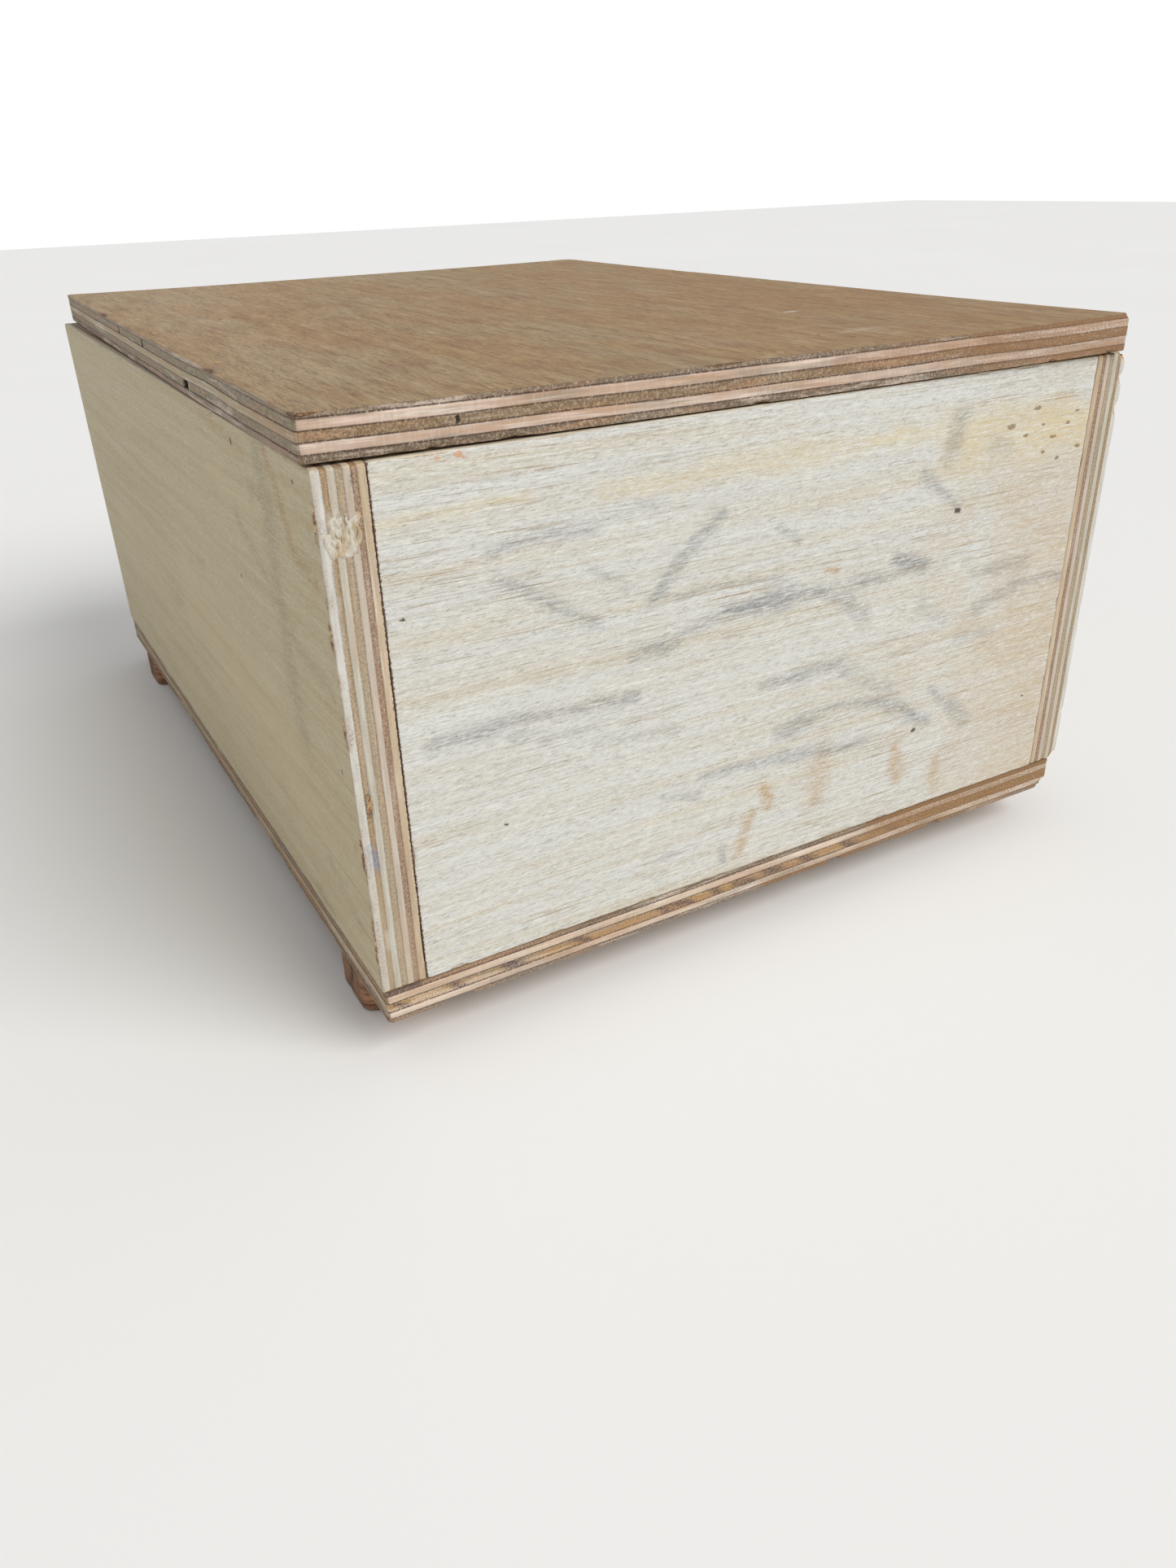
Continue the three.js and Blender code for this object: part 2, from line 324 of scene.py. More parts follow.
def board_mesh(board, plies, pitch, split, damage=(), voids=(), missing=(), corner=1.0, sag=0.0, seed=0):
    """The board's mesh with stepped plies, glue lines, gaps in the core and chipped edges.

    damage is a list of chips, voids a list of gaps in one ply and missing a list of patches without their
    outer veneer, all placed in the CAD's frame. The mesh comes back in the board's own directions: its
    vertices, where each would lie in the sound board, its polygons and the numbers kept at each vertex."""
    length, width, thickness = board.size
    across, up = round(length / pitch), round(width / pitch)
    inset, height, number, glue, edge = (column[:, None] for column in edge_rows(plies, thickness))
    unit, out = outline(across, up, split)
    rings, count = len(inset), len(unit)
    half = board.size[:2] / 2
    flat = rounded(unit[None] * (half - inset[..., None]), half - inset[..., None], corner)
    points = np.concatenate([flat, np.broadcast_to(height[..., None], (rings, count, 1))], -1)

    # The outward direction of each vertex: sideways on the edge, up or down on a face.
    normal = np.empty((rings, count, 3))
    normal[..., :2] = out[None] * edge[..., None]
    normal[..., 2] = np.sign(height) * (1 - edge)
    normal /= np.maximum(np.linalg.norm(normal, axis=-1, keepdims=True), 1e-9)

    is_end = np.broadcast_to(np.abs(out[None, :, 0]) > 0.9, (rings, count)).astype(float)
    looks = np.array([[ply[2], ply[4]] for ply in plies])[number[:, 0].astype(int)]
    torn = looks[:, :1] * (1 - is_end) + looks[:, 1:] * is_end

    cut = 0.10 + 0.10 * lumps(points * (1, 1, 0), 70, seed)
    recess = 0.04 + 0.04 * lumps(points * (0.05, 0.05, 0) + number[..., None] * 7.7, 1, seed + 1)
    rough = torn * 0.09 * (1 + lumps(points, 1.1, seed + 2))
    glue_line = glue * (0.05 + 0.05 * lumps(points, 3, seed + 3))
    hollow = void_depth(board, points, number, glue, voids)
    nick = np.clip(lumps(points, 9, seed + 4) - 0.45, 0, 1) * 1.6
    nick = nick + np.clip(lumps(points, 2.5, seed + 6) - 0.2, 0, 1) * 0.2
    corner_row = (edge > 0.1) * (edge < 0.9)
    local_chips = board_chips(board, damage)
    chips = bites(points, local_chips)
    depth = (edge > 0.9) * (cut + recess * (0.4 + torn) + rough + glue_line + hollow)
    depth = depth + corner_row * (nick + cut) + chips
    broken = chips + corner_row * nick * torn

    waves = WAVE * lumps(points * (1, 1, 2.5), WAVE_SIZE, seed + 7)
    moved = points - normal * depth[..., None]
    moved[..., 2] += (edge > 0.9) * waves * (1 - (2 * np.abs(height) / thickness) ** 2)
    face_rows = edge[:, 0] < 0.1
    moved[face_rows, :, 2] -= np.sign(height[face_rows]) * face_hollow(points[face_rows], seed)

    inner = inner_points(half - FACE_INSETS[0], across, up)
    sheets = np.concatenate([np.insert(inner, 2, side * thickness / 2, axis=1) for side in (1, -1)])
    sheet_chips = bites(sheets, local_chips)
    sheets_moved = sheets.copy()
    sheets_moved[:, 2] -= np.sign(sheets[:, 2]) * (sheet_chips + face_hollow(sheets, seed))

    rest = np.concatenate([points.reshape(-1, 3), sheets])
    made = np.concatenate([moved.reshape(-1, 3), sheets_moved])
    if sag:
        made[:, 2] -= sag * (1 - ((np.abs(made[:, :2]) / half) ** 3).prod(-1))
    made = peeled(made, thickness, plies[0][0], board, missing)

    polygons = ring_polygons(rings, count)
    inside = rings * count
    polygons += face_polygons(across, up, split, 0, inside, False)
    polygons += face_polygons(across, up, split, (rings - 1) * count, inside + len(inner), True)

    zeros = np.zeros(len(sheets))
    values = {
        "edge": np.concatenate([np.broadcast_to(edge, (rings, count)).ravel(), zeros]),
        "end": np.concatenate([is_end.ravel(), zeros]),
        "hollow": np.concatenate([np.clip(hollow / 1.2, 0, 1).ravel(), zeros]),
        "chip": np.clip(np.concatenate([broken.ravel(), sheet_chips]) / 0.5, 0, 1),
    }
    return made, rest, polygons, values


def face_hollow(points, seed):
    """How far a board's face, which is never quite flat, lies below its true height."""
    return 0.06 + 0.05 * lumps(points, FACE_WAVE_SIZE, seed + 8)


def void_depth(board, points, number, glue, voids):
    """Gaps where two strips of a core ply don't meet. A void is a place, its length and its depth."""
    depth = np.zeros(points.shape[:-1])
    for place, length, deep in voids:
        middle = board.to_board(place)
        row = int(np.argmin(np.abs(points[:, 0, 2] - middle[2])))
        same_ply = (number == number[row]) & (glue < 0.5)
        away = np.linalg.norm(points[..., :2] - middle[:2], axis=-1)
        depth = np.maximum(depth, same_ply * deep * fade(away, length * 0.35, length * 0.6))
    return depth


def inner_points(half, across, up):
    """The grid points of a face that don't lie on its rim."""
    x = np.linspace(-half[0], half[0], across + 1)[1:-1]
    y = np.linspace(-half[1], half[1], up + 1)[1:-1]
    return np.stack(np.meshgrid(x, y, indexing="ij"), -1).reshape(-1, 2)


def linked(name, data):
    """A new object in the scene."""
    made = bpy.data.objects.new(name, data)
    bpy.context.scene.collection.objects.link(made)
    return made


def new_object(name, vertices, polygons, material):
    """A piece with its vertices given in millimetres in the CAD's frame."""
    mesh = bpy.data.meshes.new(name)
    mesh.from_pydata((vertices * MM).tolist(), [], polygons)
    mesh.materials.append(material)
    mesh.shade_smooth()
    mesh.set_sharp_from_angle(angle=SHARP)
    return linked(name, mesh)


def store(piece, name, values):
    """Keeps a number or a vector at each vertex, for the material to read."""
    kind, field = ("FLOAT_VECTOR", "vector") if values.ndim == 2 else ("FLOAT", "value")
    layer = piece.data.attributes.new(name, kind, "POINT")
    layer.data.foreach_set(field, values.astype(np.float32).ravel())


def finish_piece(piece, nodes):
    """Makes a piece ride on the box and stand for its CAD nodes."""
    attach(piece, "root")
    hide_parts(*nodes)


# ---- materials ----
class Graph:
    """A material's node tree. An input is a number, a colour, a vector or another node's socket."""

    def __init__(self, name):
        self.material = bpy.data.materials.new(name)
        self.material.use_nodes = True
        self.tree = self.material.node_tree
        self.tree.nodes.clear()

    def add(self, kind, inputs, output=0, **settings):
        node = self.tree.nodes.new("ShaderNode" + kind)
        for key, value in settings.items():
            setattr(node, key, value)
        for key, value in inputs.items():
            self.feed(node.inputs[key], value)
        return node.outputs[output]

    def feed(self, socket, value):
        if isinstance(value, bpy.types.NodeSocket):
            self.tree.links.new(value, socket)
        elif socket.type == "RGBA":
            socket.default_value = (*value[:3], 1)
        else:
            socket.default_value = value

    def attribute(self, name):
        return self.add("Attribute", {}, "Fac", attribute_name=name)

    def place(self):
        """Where a point lay in the sound board, in its own millimetres."""
        return self.add("Attribute", {}, "Vector", attribute_name="grain")

    def maths(self, operation, a, b=0.0):
        return self.add("Math", {0: a, 1: b}, operation=operation, use_clamp=False)

    def times(self, a, b):
        return self.maths("MULTIPLY", a, b)

    def plus(self, a, b):
        return self.maths("ADD", a, b)

    def most(self, values):
        total = values[0]
        for value in values[1:]:
            total = self.maths("MAXIMUM", total, value)
        return total

    def fade(self, value, none, full):
        """0 where value is at none, 1 where it is at full and smooth between, whichever is the greater."""
        inputs = {"Value": value, "From Min": none, "From Max": full}
        return self.add("MapRange", inputs, interpolation_type="SMOOTHSTEP")

    def vector(self, operation, a, b):
        return self.add("VectorMath", {0: a, 1: b}, operation=operation)

    def noise(self, vector, stretch, detail, roughness=0.55, distortion=0.0):
        """Noise about 0.5 whose lumps are one over stretch millimetres long each way."""
        inputs = {"Vector": self.vector("MULTIPLY", vector, stretch), "Scale": 1.0, "Detail": detail}
        return self.add("TexNoise", {**inputs, "Roughness": roughness, "Distortion": distortion})

    def mix(self, share, a, b):
        return self.add("Mix", {0: share, 6: a, 7: b}, 2, data_type="RGBA")

    def tinted(self, colour, layers):
        """The colour with tones laid over it. A layer is a value, where in its range the tone is none and
        where it is full, the tone's strength and the tone."""
        for value, none, full, strength, tone in layers:
            colour = self.mix(self.times(self.fade(value, none, full), strength), colour, tone)
        return colour

    def either(self, share, a, b):
        return self.add("Mix", {0: share, 2: a, 3: b}, 0, data_type="FLOAT")

    def steps(self, value, stops):
        """A colour, with a number beside it, for each range of value. Returns both sockets."""
        node = self.tree.nodes.new("ShaderNodeValToRGB")
        node.color_ramp.interpolation = "CONSTANT"
        elements = node.color_ramp.elements
        elements.remove(elements[-1])
        for position, colour, number in stops:
            element = elements[0] if position == 0 else elements.new(position)
            element.color = (*colour, number)
        self.feed(node.inputs["Fac"], value)
        return node.outputs["Color"], node.outputs["Alpha"]

    def spots(self, vector, marks):
        """1 inside small ragged ovals, 0 outside. A mark is its middle and its reach each way."""
        ragged = self.add("TexNoise", {"Vector": vector, "Scale": 1.1, "Detail": 2.0}, 1)
        shift = self.vector("ADD", ragged, (-0.5, -0.5, -0.5))
        shift = self.vector("MULTIPLY", shift, (1.6, 1.6, 1.6))
        vector = self.vector("ADD", vector, shift)
        found = []
        for middle, reach in marks:
            away = self.vector("SUBTRACT", vector, tuple(middle))
            scaled = self.vector("MULTIPLY", away, tuple(1 / r for r in reach))
            length = self.add("VectorMath", {0: scaled}, "Value", operation="LENGTH")
            found.append(self.fade(length, 1.0, 0.6))
        return self.most(found)

    def finish(self, colour, roughness, height, reach, **sockets):
        """The surface, with a bump of reach millimetres from height."""
        bump = self.add("Bump", {"Strength": 1.0, "Distance": reach * MM, "Height": height})
        inputs = {"Base Color": colour, "Roughness": roughness, "Normal": bump}
        surface = self.add("BsdfPrincipled", {**inputs, **sockets})
        output = self.tree.nodes.new("ShaderNodeOutputMaterial")
        self.tree.links.new(surface, output.inputs["Surface"])
        return self.material


def poplar_face(graph, place, pale, warm, contrast):
    """Rotary-cut poplar: soft bands and brown hairlines along the grain under a fine slanting ripple, with
    painted highlight and painted shade on the ripple and a partly painted highlight in the pale streaks.
    """
    slanted = graph.add("VectorRotate", {"Vector": place, "Angle": -0.16}, rotation_type="Z_AXIS")
    bands = graph.noise(place, (0.005, 0.13, 0.13), 4, 0.65)
    streaks = graph.noise(place, (0.012, 0.8, 0.8), 5, 0.75, 0.3)
    lines = graph.noise(place, (0.028, 2.0, 2.0), 2, 0.5)
    patches = graph.noise(place, (0.008, 0.05, 0.05), 2)
    fibres = graph.noise(place, (0.16, 2.4, 2.4), 4, 0.7, 0.3)
    ripple = graph.noise(slanted, (0.50, 2.2, 1.0), 3, 0.65, 1.0)
    hairlines = graph.times(graph.fade(lines, 0.57, 0.70), graph.fade(patches, 0.40, 0.58))
    colour = graph.mix(graph.fade(bands, 0.42, 0.68), pale, warm)
    colour = graph.tinted(colour, [
        (streaks, 0.50, 0.72, 0.5 * contrast, rgb(168, 156, 132)),
        # The pale streaks are partly real pale grain and partly a painted highlight.
        (streaks, 0.48, 0.28, 0.5 * contrast, rgb(232, 234, 230)),
    ])
    colour = graph.mix(graph.times(hairlines, 0.75 * contrast), colour, rgb(152, 126, 90))
    fine = graph.plus(graph.times(fibres, 0.5), graph.times(ripple, 0.5))
    # Painted highlight and painted shade: the fine ripple's pale and dark tones stand for light catching the
    # fibres.
    colour = graph.tinted(colour, [
        (fine, 0.50, 0.64, 0.62 * contrast, rgb(140, 130, 108)),
        (fine, 0.49, 0.36, 0.62 * contrast, rgb(236, 236, 228)),
    ])
    return colour, graph.plus(graph.times(ripple, 0.6), graph.times(fibres, 0.4))


def okoume_face(graph, place, brown, grey):
    """Brown face veneer, worn grey in patches, with short open pores."""
    worn = graph.noise(place, (0.008, 0.022, 0.022), 4, 0.6)
    mottle = graph.noise(place, (0.03, 0.16, 0.16), 4, 0.65)
    grain = graph.noise(place, (0.035, 0.7, 0.7), 5, 0.75, 0.5)
    pores = graph.fade(graph.noise(place, (0.16, 3.2, 3.2), 2, 0.6, 0.3), 0.54, 0.70)
    flecks = graph.fade(graph.noise(place, (0.22, 3.4, 3.4), 2, 0.6, 0.3), 0.55, 0.70)
    colour = graph.tinted(graph.mix(graph.fade(worn, 0.38, 0.66), brown, grey), [
        (mottle, 0.42, 0.72, 0.75, rgb(146, 106, 70)),
        (mottle, 0.46, 0.26, 0.50, rgb(196, 176, 148)),
        (grain, 0.49, 0.70, 0.65, rgb(118, 88, 60)),
        (grain, 0.46, 0.30, 0.40, rgb(188, 162, 130)),
    ])
    colour = graph.mix(graph.times(pores, 0.50), colour, rgb(94, 68, 46))
    colour = graph.mix(graph.times(flecks, 0.40), colour, rgb(202, 178, 148))
    return colour, graph.plus(graph.times(grain, 0.5), graph.times(pores, -0.8))


def cut_edge(graph, place, plies, thickness, slot):
    """The sawn edge of plywood: each ply's own colour, torn end grain, hairlines in the shaved plies."""
    glue_strength, wander, across, _, _ = EDGE_LOOKS[slot]
    through = graph.add("SeparateXYZ", {0: place}, 2)
    depth = graph.plus(graph.times(through, -1 / thickness), 0.5)
    starts = np.cumsum([0] + [ply[0] for ply in plies[:-1]]) / sum(ply[0] for ply in plies)
    side, side_torn = graph.steps(depth, [(s, rgb(*ply[1]), ply[2]) for s, ply in zip(starts, plies)])
    end, end_torn = graph.steps(depth, [(s, rgb(*ply[3]), ply[4]) for s, ply in zip(starts, plies)])
    at_end = graph.fade(graph.attribute("end"), 0.4, 0.6)
    torn = graph.either(at_end, side_torn, end_torn)
    smooth = graph.maths("SUBTRACT", 1.0, torn)
    tint = graph.noise(place, (0.022, 0.022, 0.24), 3, 0.6)
    shade = graph.noise(place, (0.035, 0.035, 0.4), 3, 0.6)
    speckle = graph.noise(place, (1.3, 1.3, 1.3), 3, 0.75)
    lines = graph.noise(place, (1.1, 1.1, 0.07), 3, 0.6)
    fibres = [graph.noise(place, stretch, 4, 0.6) for stretch in ((0.05, 1.4, 1.4), (1.4, 0.05, 1.4))]
    along = graph.either(at_end, *fibres)
    colour = graph.tinted(graph.mix(at_end, side, end), [
        (tint, 0.48, 0.66, wander, rgb(182, 142, 110)),
        (tint, 0.46, 0.34, wander, rgb(232, 214, 198)),
        (shade, 0.5, 0.68, wander, rgb(138, 128, 114)),
    ])
    layers = [
        (lines, 0.52, 0.70, smooth, 0.50 * across, rgb(160, 116, 84)),
        (lines, 0.48, 0.34, smooth, 0.45 * across, rgb(244, 232, 222)),
        (along, 0.50, 0.70, smooth, 0.40, rgb(172, 142, 112)),
        (along, 0.48, 0.32, smooth, 0.35, rgb(246, 238, 228)),
        (speckle, 0.50, 0.61, torn, 0.50, rgb(84, 62, 44)),
        (speckle, 0.48, 0.36, torn, 0.40, rgb(212, 192, 160)),
    ]
    for value, none, full, share, strength, tone in layers:
        found = graph.times(graph.fade(value, none, full), share)
        colour = graph.mix(graph.times(found, strength), colour, tone)
    glue = glue_lines(graph, depth, starts, thickness, speckle)
    colour = graph.mix(graph.times(glue, glue_strength), colour, rgb(66, 46, 38))
    return colour, graph.plus(graph.times(speckle, torn), graph.times(along, 0.3))


def glue_lines(graph, depth, starts, thickness, speckle):
    """1 in the thin dark lines between the plies."""
    found = []
    for start in starts[1:]:
        away = graph.maths("ABSOLUTE", graph.maths("SUBTRACT", depth, float(start)))
        found.append(graph.fade(away, 0.36 / thickness, 0.10 / thickness))
    return graph.times(graph.most(found), graph.fade(speckle, 0.30, 0.50))


def plywood(name, face, plies, thickness, slot, fillers, paint, dots):
    """A board's material. face is a function that gives the face's colour and height.

    fillers are the soft ovals over driven brads. paint is a list of an attribute, a colour and a strength,
    and dots a list of a colour, a strength and its small marks."""
    graph = Graph(name)
    place = graph.place()
    colour, height = face(graph, place)
    if fillers:
        dabs = graph.spots(place, fillers)
        colour = graph.mix(graph.times(dabs, 0.7), colour, rgb(186, 158, 104))
        height = graph.plus(height, graph.times(dabs, -1.0))
    edge_colour, edge_height = cut_edge(graph, place, plies, thickness, slot)
    on_edge = graph.fade(graph.attribute("edge"), 0.1, 0.6)
    colour = graph.mix(on_edge, colour, edge_colour)
    height = graph.either(on_edge, height, edge_height)
    threads = graph.fade(graph.noise(place, (0.10, 1.5, 1.5), 4, 0.7, 0.3), 0.40, 0.58)
    ridges = graph.fade(height, 0.42, 0.56)
    patchy = graph.plus(0.1, graph.plus(graph.times(threads, 0.6), graph.times(ridges, 0.6)))
    for attribute, tone, strength in paint:
        share = graph.times(graph.times(graph.attribute(attribute), strength), patchy)
        colour = graph.mix(share, colour, tone)
    for tone, strength, marks in dots:
        colour = graph.mix(graph.times(graph.spots(place, marks), strength), colour, tone)
    splinters = graph.noise(place, (0.5, 0.5, 1.5), 4, 0.7)
    broken_wood = graph.mix(graph.fade(splinters, 0.4, 0.6), *EDGE_LOOKS[slot][3:])
    colour = graph.mix(graph.fade(graph.attribute("chip"), 0.1, 0.6), colour, broken_wood)
    # Painted shade and dirt: the gaps in the core plies are coloured near-black as well as sunk.
    colour = graph.mix(graph.fade(graph.attribute("hollow"), 0.05, 0.5), colour, rgb(34, 24, 18))
    roughness = graph.plus(0.5, graph.times(height, 0.2))
    return graph.finish(colour, roughness, height, 0.2, **{"Specular IOR Level": 0.35})


def foot_wood():
    """Sawn reddish hardwood: dark streaks up two flanks, bands and saw lines along the others. The two
    flanks are darker overall, as painted shade.
    """
    graph = Graph("foot_hardwood")
    place = graph.place()
    streaks = graph.noise(place, (0.35, 0.35, 0.05), 5, 0.7, 0.8)
    bands = graph.noise(place, (0.03, 0.03, 0.42), 4, 0.65, 0.6)
    fibres = graph.noise(place, (2.2, 2.2, 0.25), 3, 0.65)
    saw = graph.noise(place, (0.08, 0.08, 1.5), 3, 0.6)
    # Painted shade: the flanks facing -X and +X are darker than the other faces.
    shaded_upright = graph.mix(graph.fade(streaks, 0.38, 0.62), rgb(148, 112, 84), rgb(88, 58, 42))
    level = graph.mix(graph.fade(bands, 0.40, 0.62), rgb(112, 76, 56), rgb(178, 132, 102))
    colour = graph.tinted(graph.mix(graph.attribute("flank"), level, shaded_upright), [
        (fibres, 0.5, 0.68, 0.45, rgb(66, 42, 30)),
        (saw, 0.52, 0.68, 0.30, rgb(206, 164, 124)),
    ])
    height = graph.plus(graph.times(fibres, 0.6), saw)
    return graph.finish(colour, 0.68, height, 0.25, **{"Specular IOR Level": 0.3})


def splinter_wood():
    """Torn pale fibres with tan patches and darker strands, partly the wood's own tone and partly painted
    shade between the fibres.
    """
    graph = Graph("torn_fibres")
    place = graph.place()
    strands = graph.noise(place, (0.3, 2.5, 2.5), 3, 0.6)
    specks = graph.noise(place, (1.5, 1.5, 1.5), 2, 0.5)
    patches = graph.noise(place, (0.12, 0.3, 0.3), 3, 0.6)
    colour = graph.mix(graph.fade(patches, 0.40, 0.60), rgb(204, 199, 186), rgb(186, 168, 138))
    colour = graph.tinted(colour, [
        (strands, 0.50, 0.66, 0.5, rgb(160, 138, 108)),
        (specks, 0.55, 0.7, 0.35, rgb(150, 124, 96)),
    ])
    return graph.finish(colour, 0.75, strands, 0.1)


def zinc_steel():
    """Plated fasteners: bright metal, mottled by the plating and a little rust."""
    graph = Graph("plated_steel")
    place = graph.add("TexCoord", {}, "Object")
    mottle = graph.noise(place, (900, 900, 900), 4, 0.6)
    drawn = graph.noise(place, (2400, 2400, 120), 2, 0.5)
    colour = graph.mix(graph.fade(mottle, 0.35, 0.6), rgb(150, 150, 148), rgb(196, 198, 200))
    colour = graph.tinted(colour, [(mottle, 0.62, 0.75, 0.6, rgb(120, 84, 56))])
    roughness = graph.plus(0.28, graph.times(mottle, 0.25))
    return graph.finish(colour, roughness, drawn, 0.02, Metallic=0.9)


# ---- the boards ----
def painted(places, strokes):
    """The strongest of some strokes at each place. A stroke is its width, its strength and its path."""
    flat = np.concatenate([places, np.zeros((len(places), 1))], 1)
    wander = np.stack([lumps(flat, 9, 21), lumps(flat, 9, 22)], 1)
    fray = np.stack([lumps(flat * (0.4, 1, 1), 2.4, seed) for seed in (25, 26)], 1)
    moved = places + 0.9 * wander + 0.7 * fray
    total = np.zeros(len(places))
    for width, strength, *path in strokes:
        reach = width * (0.9 + 0.45 * lumps(flat, 11, 23))
        covered = stroke(moved, np.reshape(path, (-1, 2)).astype(float), reach)
        total = np.maximum(total, strength * covered)
    return total


def brads_in(board, names):
    """The filled holes over the brads driven in through a board's face, in the board's own millimetres."""
    places = [board.to_board(box_mm(name).mean(0)) for name in names]
    return [((x, y, board.size[2] / 2), FILLER_REACH) for x, y, _ in places]


def add_board(board, plies, face, pitch, split, slot, damage=(), brads=(), paint=(), dots=(), layers=None,
              **shape):
    """One board of the box, with its own material. layers gives the painted attributes at its points."""
    vertices, rest, polygons, values = board_mesh(board, plies, pitch, split, damage, **shape)
    fillers = brads_in(board, brads)
    name, thickness = board.node + "_plywood", float(board.size[2])
    material = plywood(name, face, plies, thickness, slot, fillers, paint, dots)
    piece = new_object("worn_" + board.node, board.to_world(vertices), polygons, material)
    store(piece, "grain", rest)
    painted_values = layers(board, board.to_world(rest)) if layers else {}
    for name, value in {**values, **painted_values}.items():
        store(piece, name, value)
    finish_piece(piece, [board.node])


def starting(*beginnings):
    """The brads whose names start so."""
    return [name for name in BRAD_NODES if name.startswith(beginnings)]


def marks(place, board, rows, flatness=1.0):
    """Small oval dots. A row is where a dot lies, which place turns into the board's own, and its size."""
    return [(place(board, x, y), (size, flatness * size, 2)) for x, y, size in rows]


# ---- the top and bottom boards ----
# A stroke is its width, its strength and then the places along it. Places on the top board are millimetres
# from its left edge and from its front edge.
LID_WORN = [
    (70, 0.9, 30, 300, 60, 400), (34, 0.6, 25, 60, 30, 260), (40, 0.45, 90, 395, 180, 405),
    (12, 0.4, 150, 40, 215, 30), (8, 0.5, 160, 60, 205, 52),
]
LID_BROWN = [(90, 0.9, 260, 60, 270, 380), (60, 0.5, 150, 200, 200, 260)]
LID_SCRATCHES = [(4, 0.5, 196, 30, 214, 34), (3, 0.5, 206, 16, 214, 20)]
# Places along the top board's front edge are millimetres from its left end and down from its top.
LID_EDGE = [(14, 0.8, 232, 4, 300, 4), (4, 0.5, 170, 3, 235, 3), (7, 0.7, 262, 10, 300, 10)]
LID_SPECKS = [
    (150, 13), (193, 20), (188, 32), (249, 90), (14, 395), (24, 331), (39, 331), (60, 75), (231, 66),
]


def lid_face(graph, place):
    return okoume_face(graph, place, rgb(170, 137, 92), rgb(170, 147, 109))


def lid_place(board, left, front, down=0.0):
    """The board's own place for one on its top, or down millimetres below it."""
    return front - board.size[0] / 2, board.size[1] / 2 - left, board.size[2] / 2 - down


def lid_world(board, *place):
    """The same place in the CAD's frame."""
    return board.to_world(np.array(lid_place(board, *place)))


def lid_layers(board, points):
    x, y, z = board.to_board(points).T
    left, front, down = board.size[1] / 2 - y, x + board.size[0] / 2, board.size[2] / 2 - z
    places, edge = np.stack([left, front], 1), np.stack([left, down], 1)
    on_top, on_front = down < 0.5, front < 1
    return {
        "browned": on_front * painted(edge, LID_EDGE),
        "worn": on_top * painted(places, LID_WORN),
        "brown": on_top * painted(places, LID_BROWN),
        "scratch": on_top * painted(places, LID_SCRATCHES),
    }


def add_lid():
    board = Board("lid_panel", (0, 1, 0), (0, 0, 1), LID_TURN)
    width, under = board.size[1], 12.7  # under is a place's distance down at the board's underside
    gaps = [((0, 132, 8.8), 7, 3.0), ((0, 207, 2.9), 3, 1.6), ((0, 261, 2.9), 2.6, 1.2)]
    chips = [
        ((width, 0, 0), (3, 3, 2.2), 1.5), ((0, 2, 0), (1.8, 5, 2.2), 0.7), ((2, 0, 0), (6, 1.6, 1.6), 0.6),
        ((36, 0, under), (2.0, 1.5, 1.1), 0.6), ((60, 0, under), (3.2, 1.5, 1.2), 0.6),
        ((142, 0, under), (3, 1.5, 1.2), 0.5), ((265, 0, under), (1.6, 1.5, 1.2), 0.7),
        ((295, 0, under), (4, 1.5, 1.3), 0.6), ((128, 0, 0), (9, 2.5, 1.2), 0.5),
        ((0, 92, 0), (2.5, 8, 1.2), 0.5), ((0, 300, 0), (2.5, 12, 1.2), 0.6),
    ]
    voids, damage = (
        [(lid_world(board, *place), reach, deep) for place, reach, deep in rows] for rows in (gaps, chips)
    )
    paint = [
        ("worn", rgb(200, 182, 156), 0.5), ("brown", rgb(156, 112, 68), 0.5),
        ("scratch", rgb(232, 226, 214), 0.8), ("browned", rgb(140, 104, 70), 1.2),
    ]
    dots = [
        (rgb(74, 50, 34), 0.8, [(lid_place(board, *place), (1.3, 0.8, 2.0)) for place in LID_SPECKS]),
        (rgb(190, 150, 84), 0.8, [(lid_place(board, 7, 109), (3.2, 2.0, 2.0))]),  # a filled nail head
        (rgb(226, 216, 200), 0.85, [(lid_place(board, 223, 92), (1.5, 4.6, 2.0))]),  # a scratch
        # A gap in a ply, painted as a near-black dot of shade with no hollow cut under it.
        (rgb(30, 20, 14), 0.95, [(lid_place(board, 43.5, 0, 5.8), (2, 0.75, 1.5))]),  # a gap in a ply
    ]
    add_board(board, LID_PLIES, lid_face, 2.5, 2, "board_ply", damage, starting("lid_brad"), paint, dots,
              lid_layers, voids=voids, corner=1.6, sag=LID_SAG, seed=10)


# Places along the bottom board's front edge are millimetres from its left end, with the height above the
# ground. A blotch is where it starts and where it ends.
BOTTOM_BLOTCHES = [
    (2, 8), (23, 29), (42, 48), (68, 73), (103, 107), (109, 118), (124, 130), (135, 145), (150, 157),
    (167, 174), (187, 195), (207, 216),
]
BLOTCH_TOP, BLOTCH_FOOT = 22.2, 18.8  # the middle ply


def bottom_layers(board, points):
    places = np.stack([points[:, 0] - box_mm(board.node)[0, 0], points[:, 2]], 1)
    on_front = points[:, 1] < 0
    in_ply = (points[:, 2] < BLOTCH_TOP) & (points[:, 2] > BLOTCH_FOOT)
    blotches = [(3.4, 1.0, start, BLOTCH_TOP, end, BLOTCH_FOOT) for start, end in BOTTOM_BLOTCHES]
    rough_end = [(3, 0.9, 0, 26.5, 11, 26.5)]
    browned = [(15, 1.0, 206, 24, 305, 22), (4, 0.6, 150, 16, 206, 16)]
    blotch = np.maximum(in_ply * painted(places, blotches), painted(places, rough_end))
    return {"blotch": on_front * blotch, "browned": on_front * painted(places, browned)}


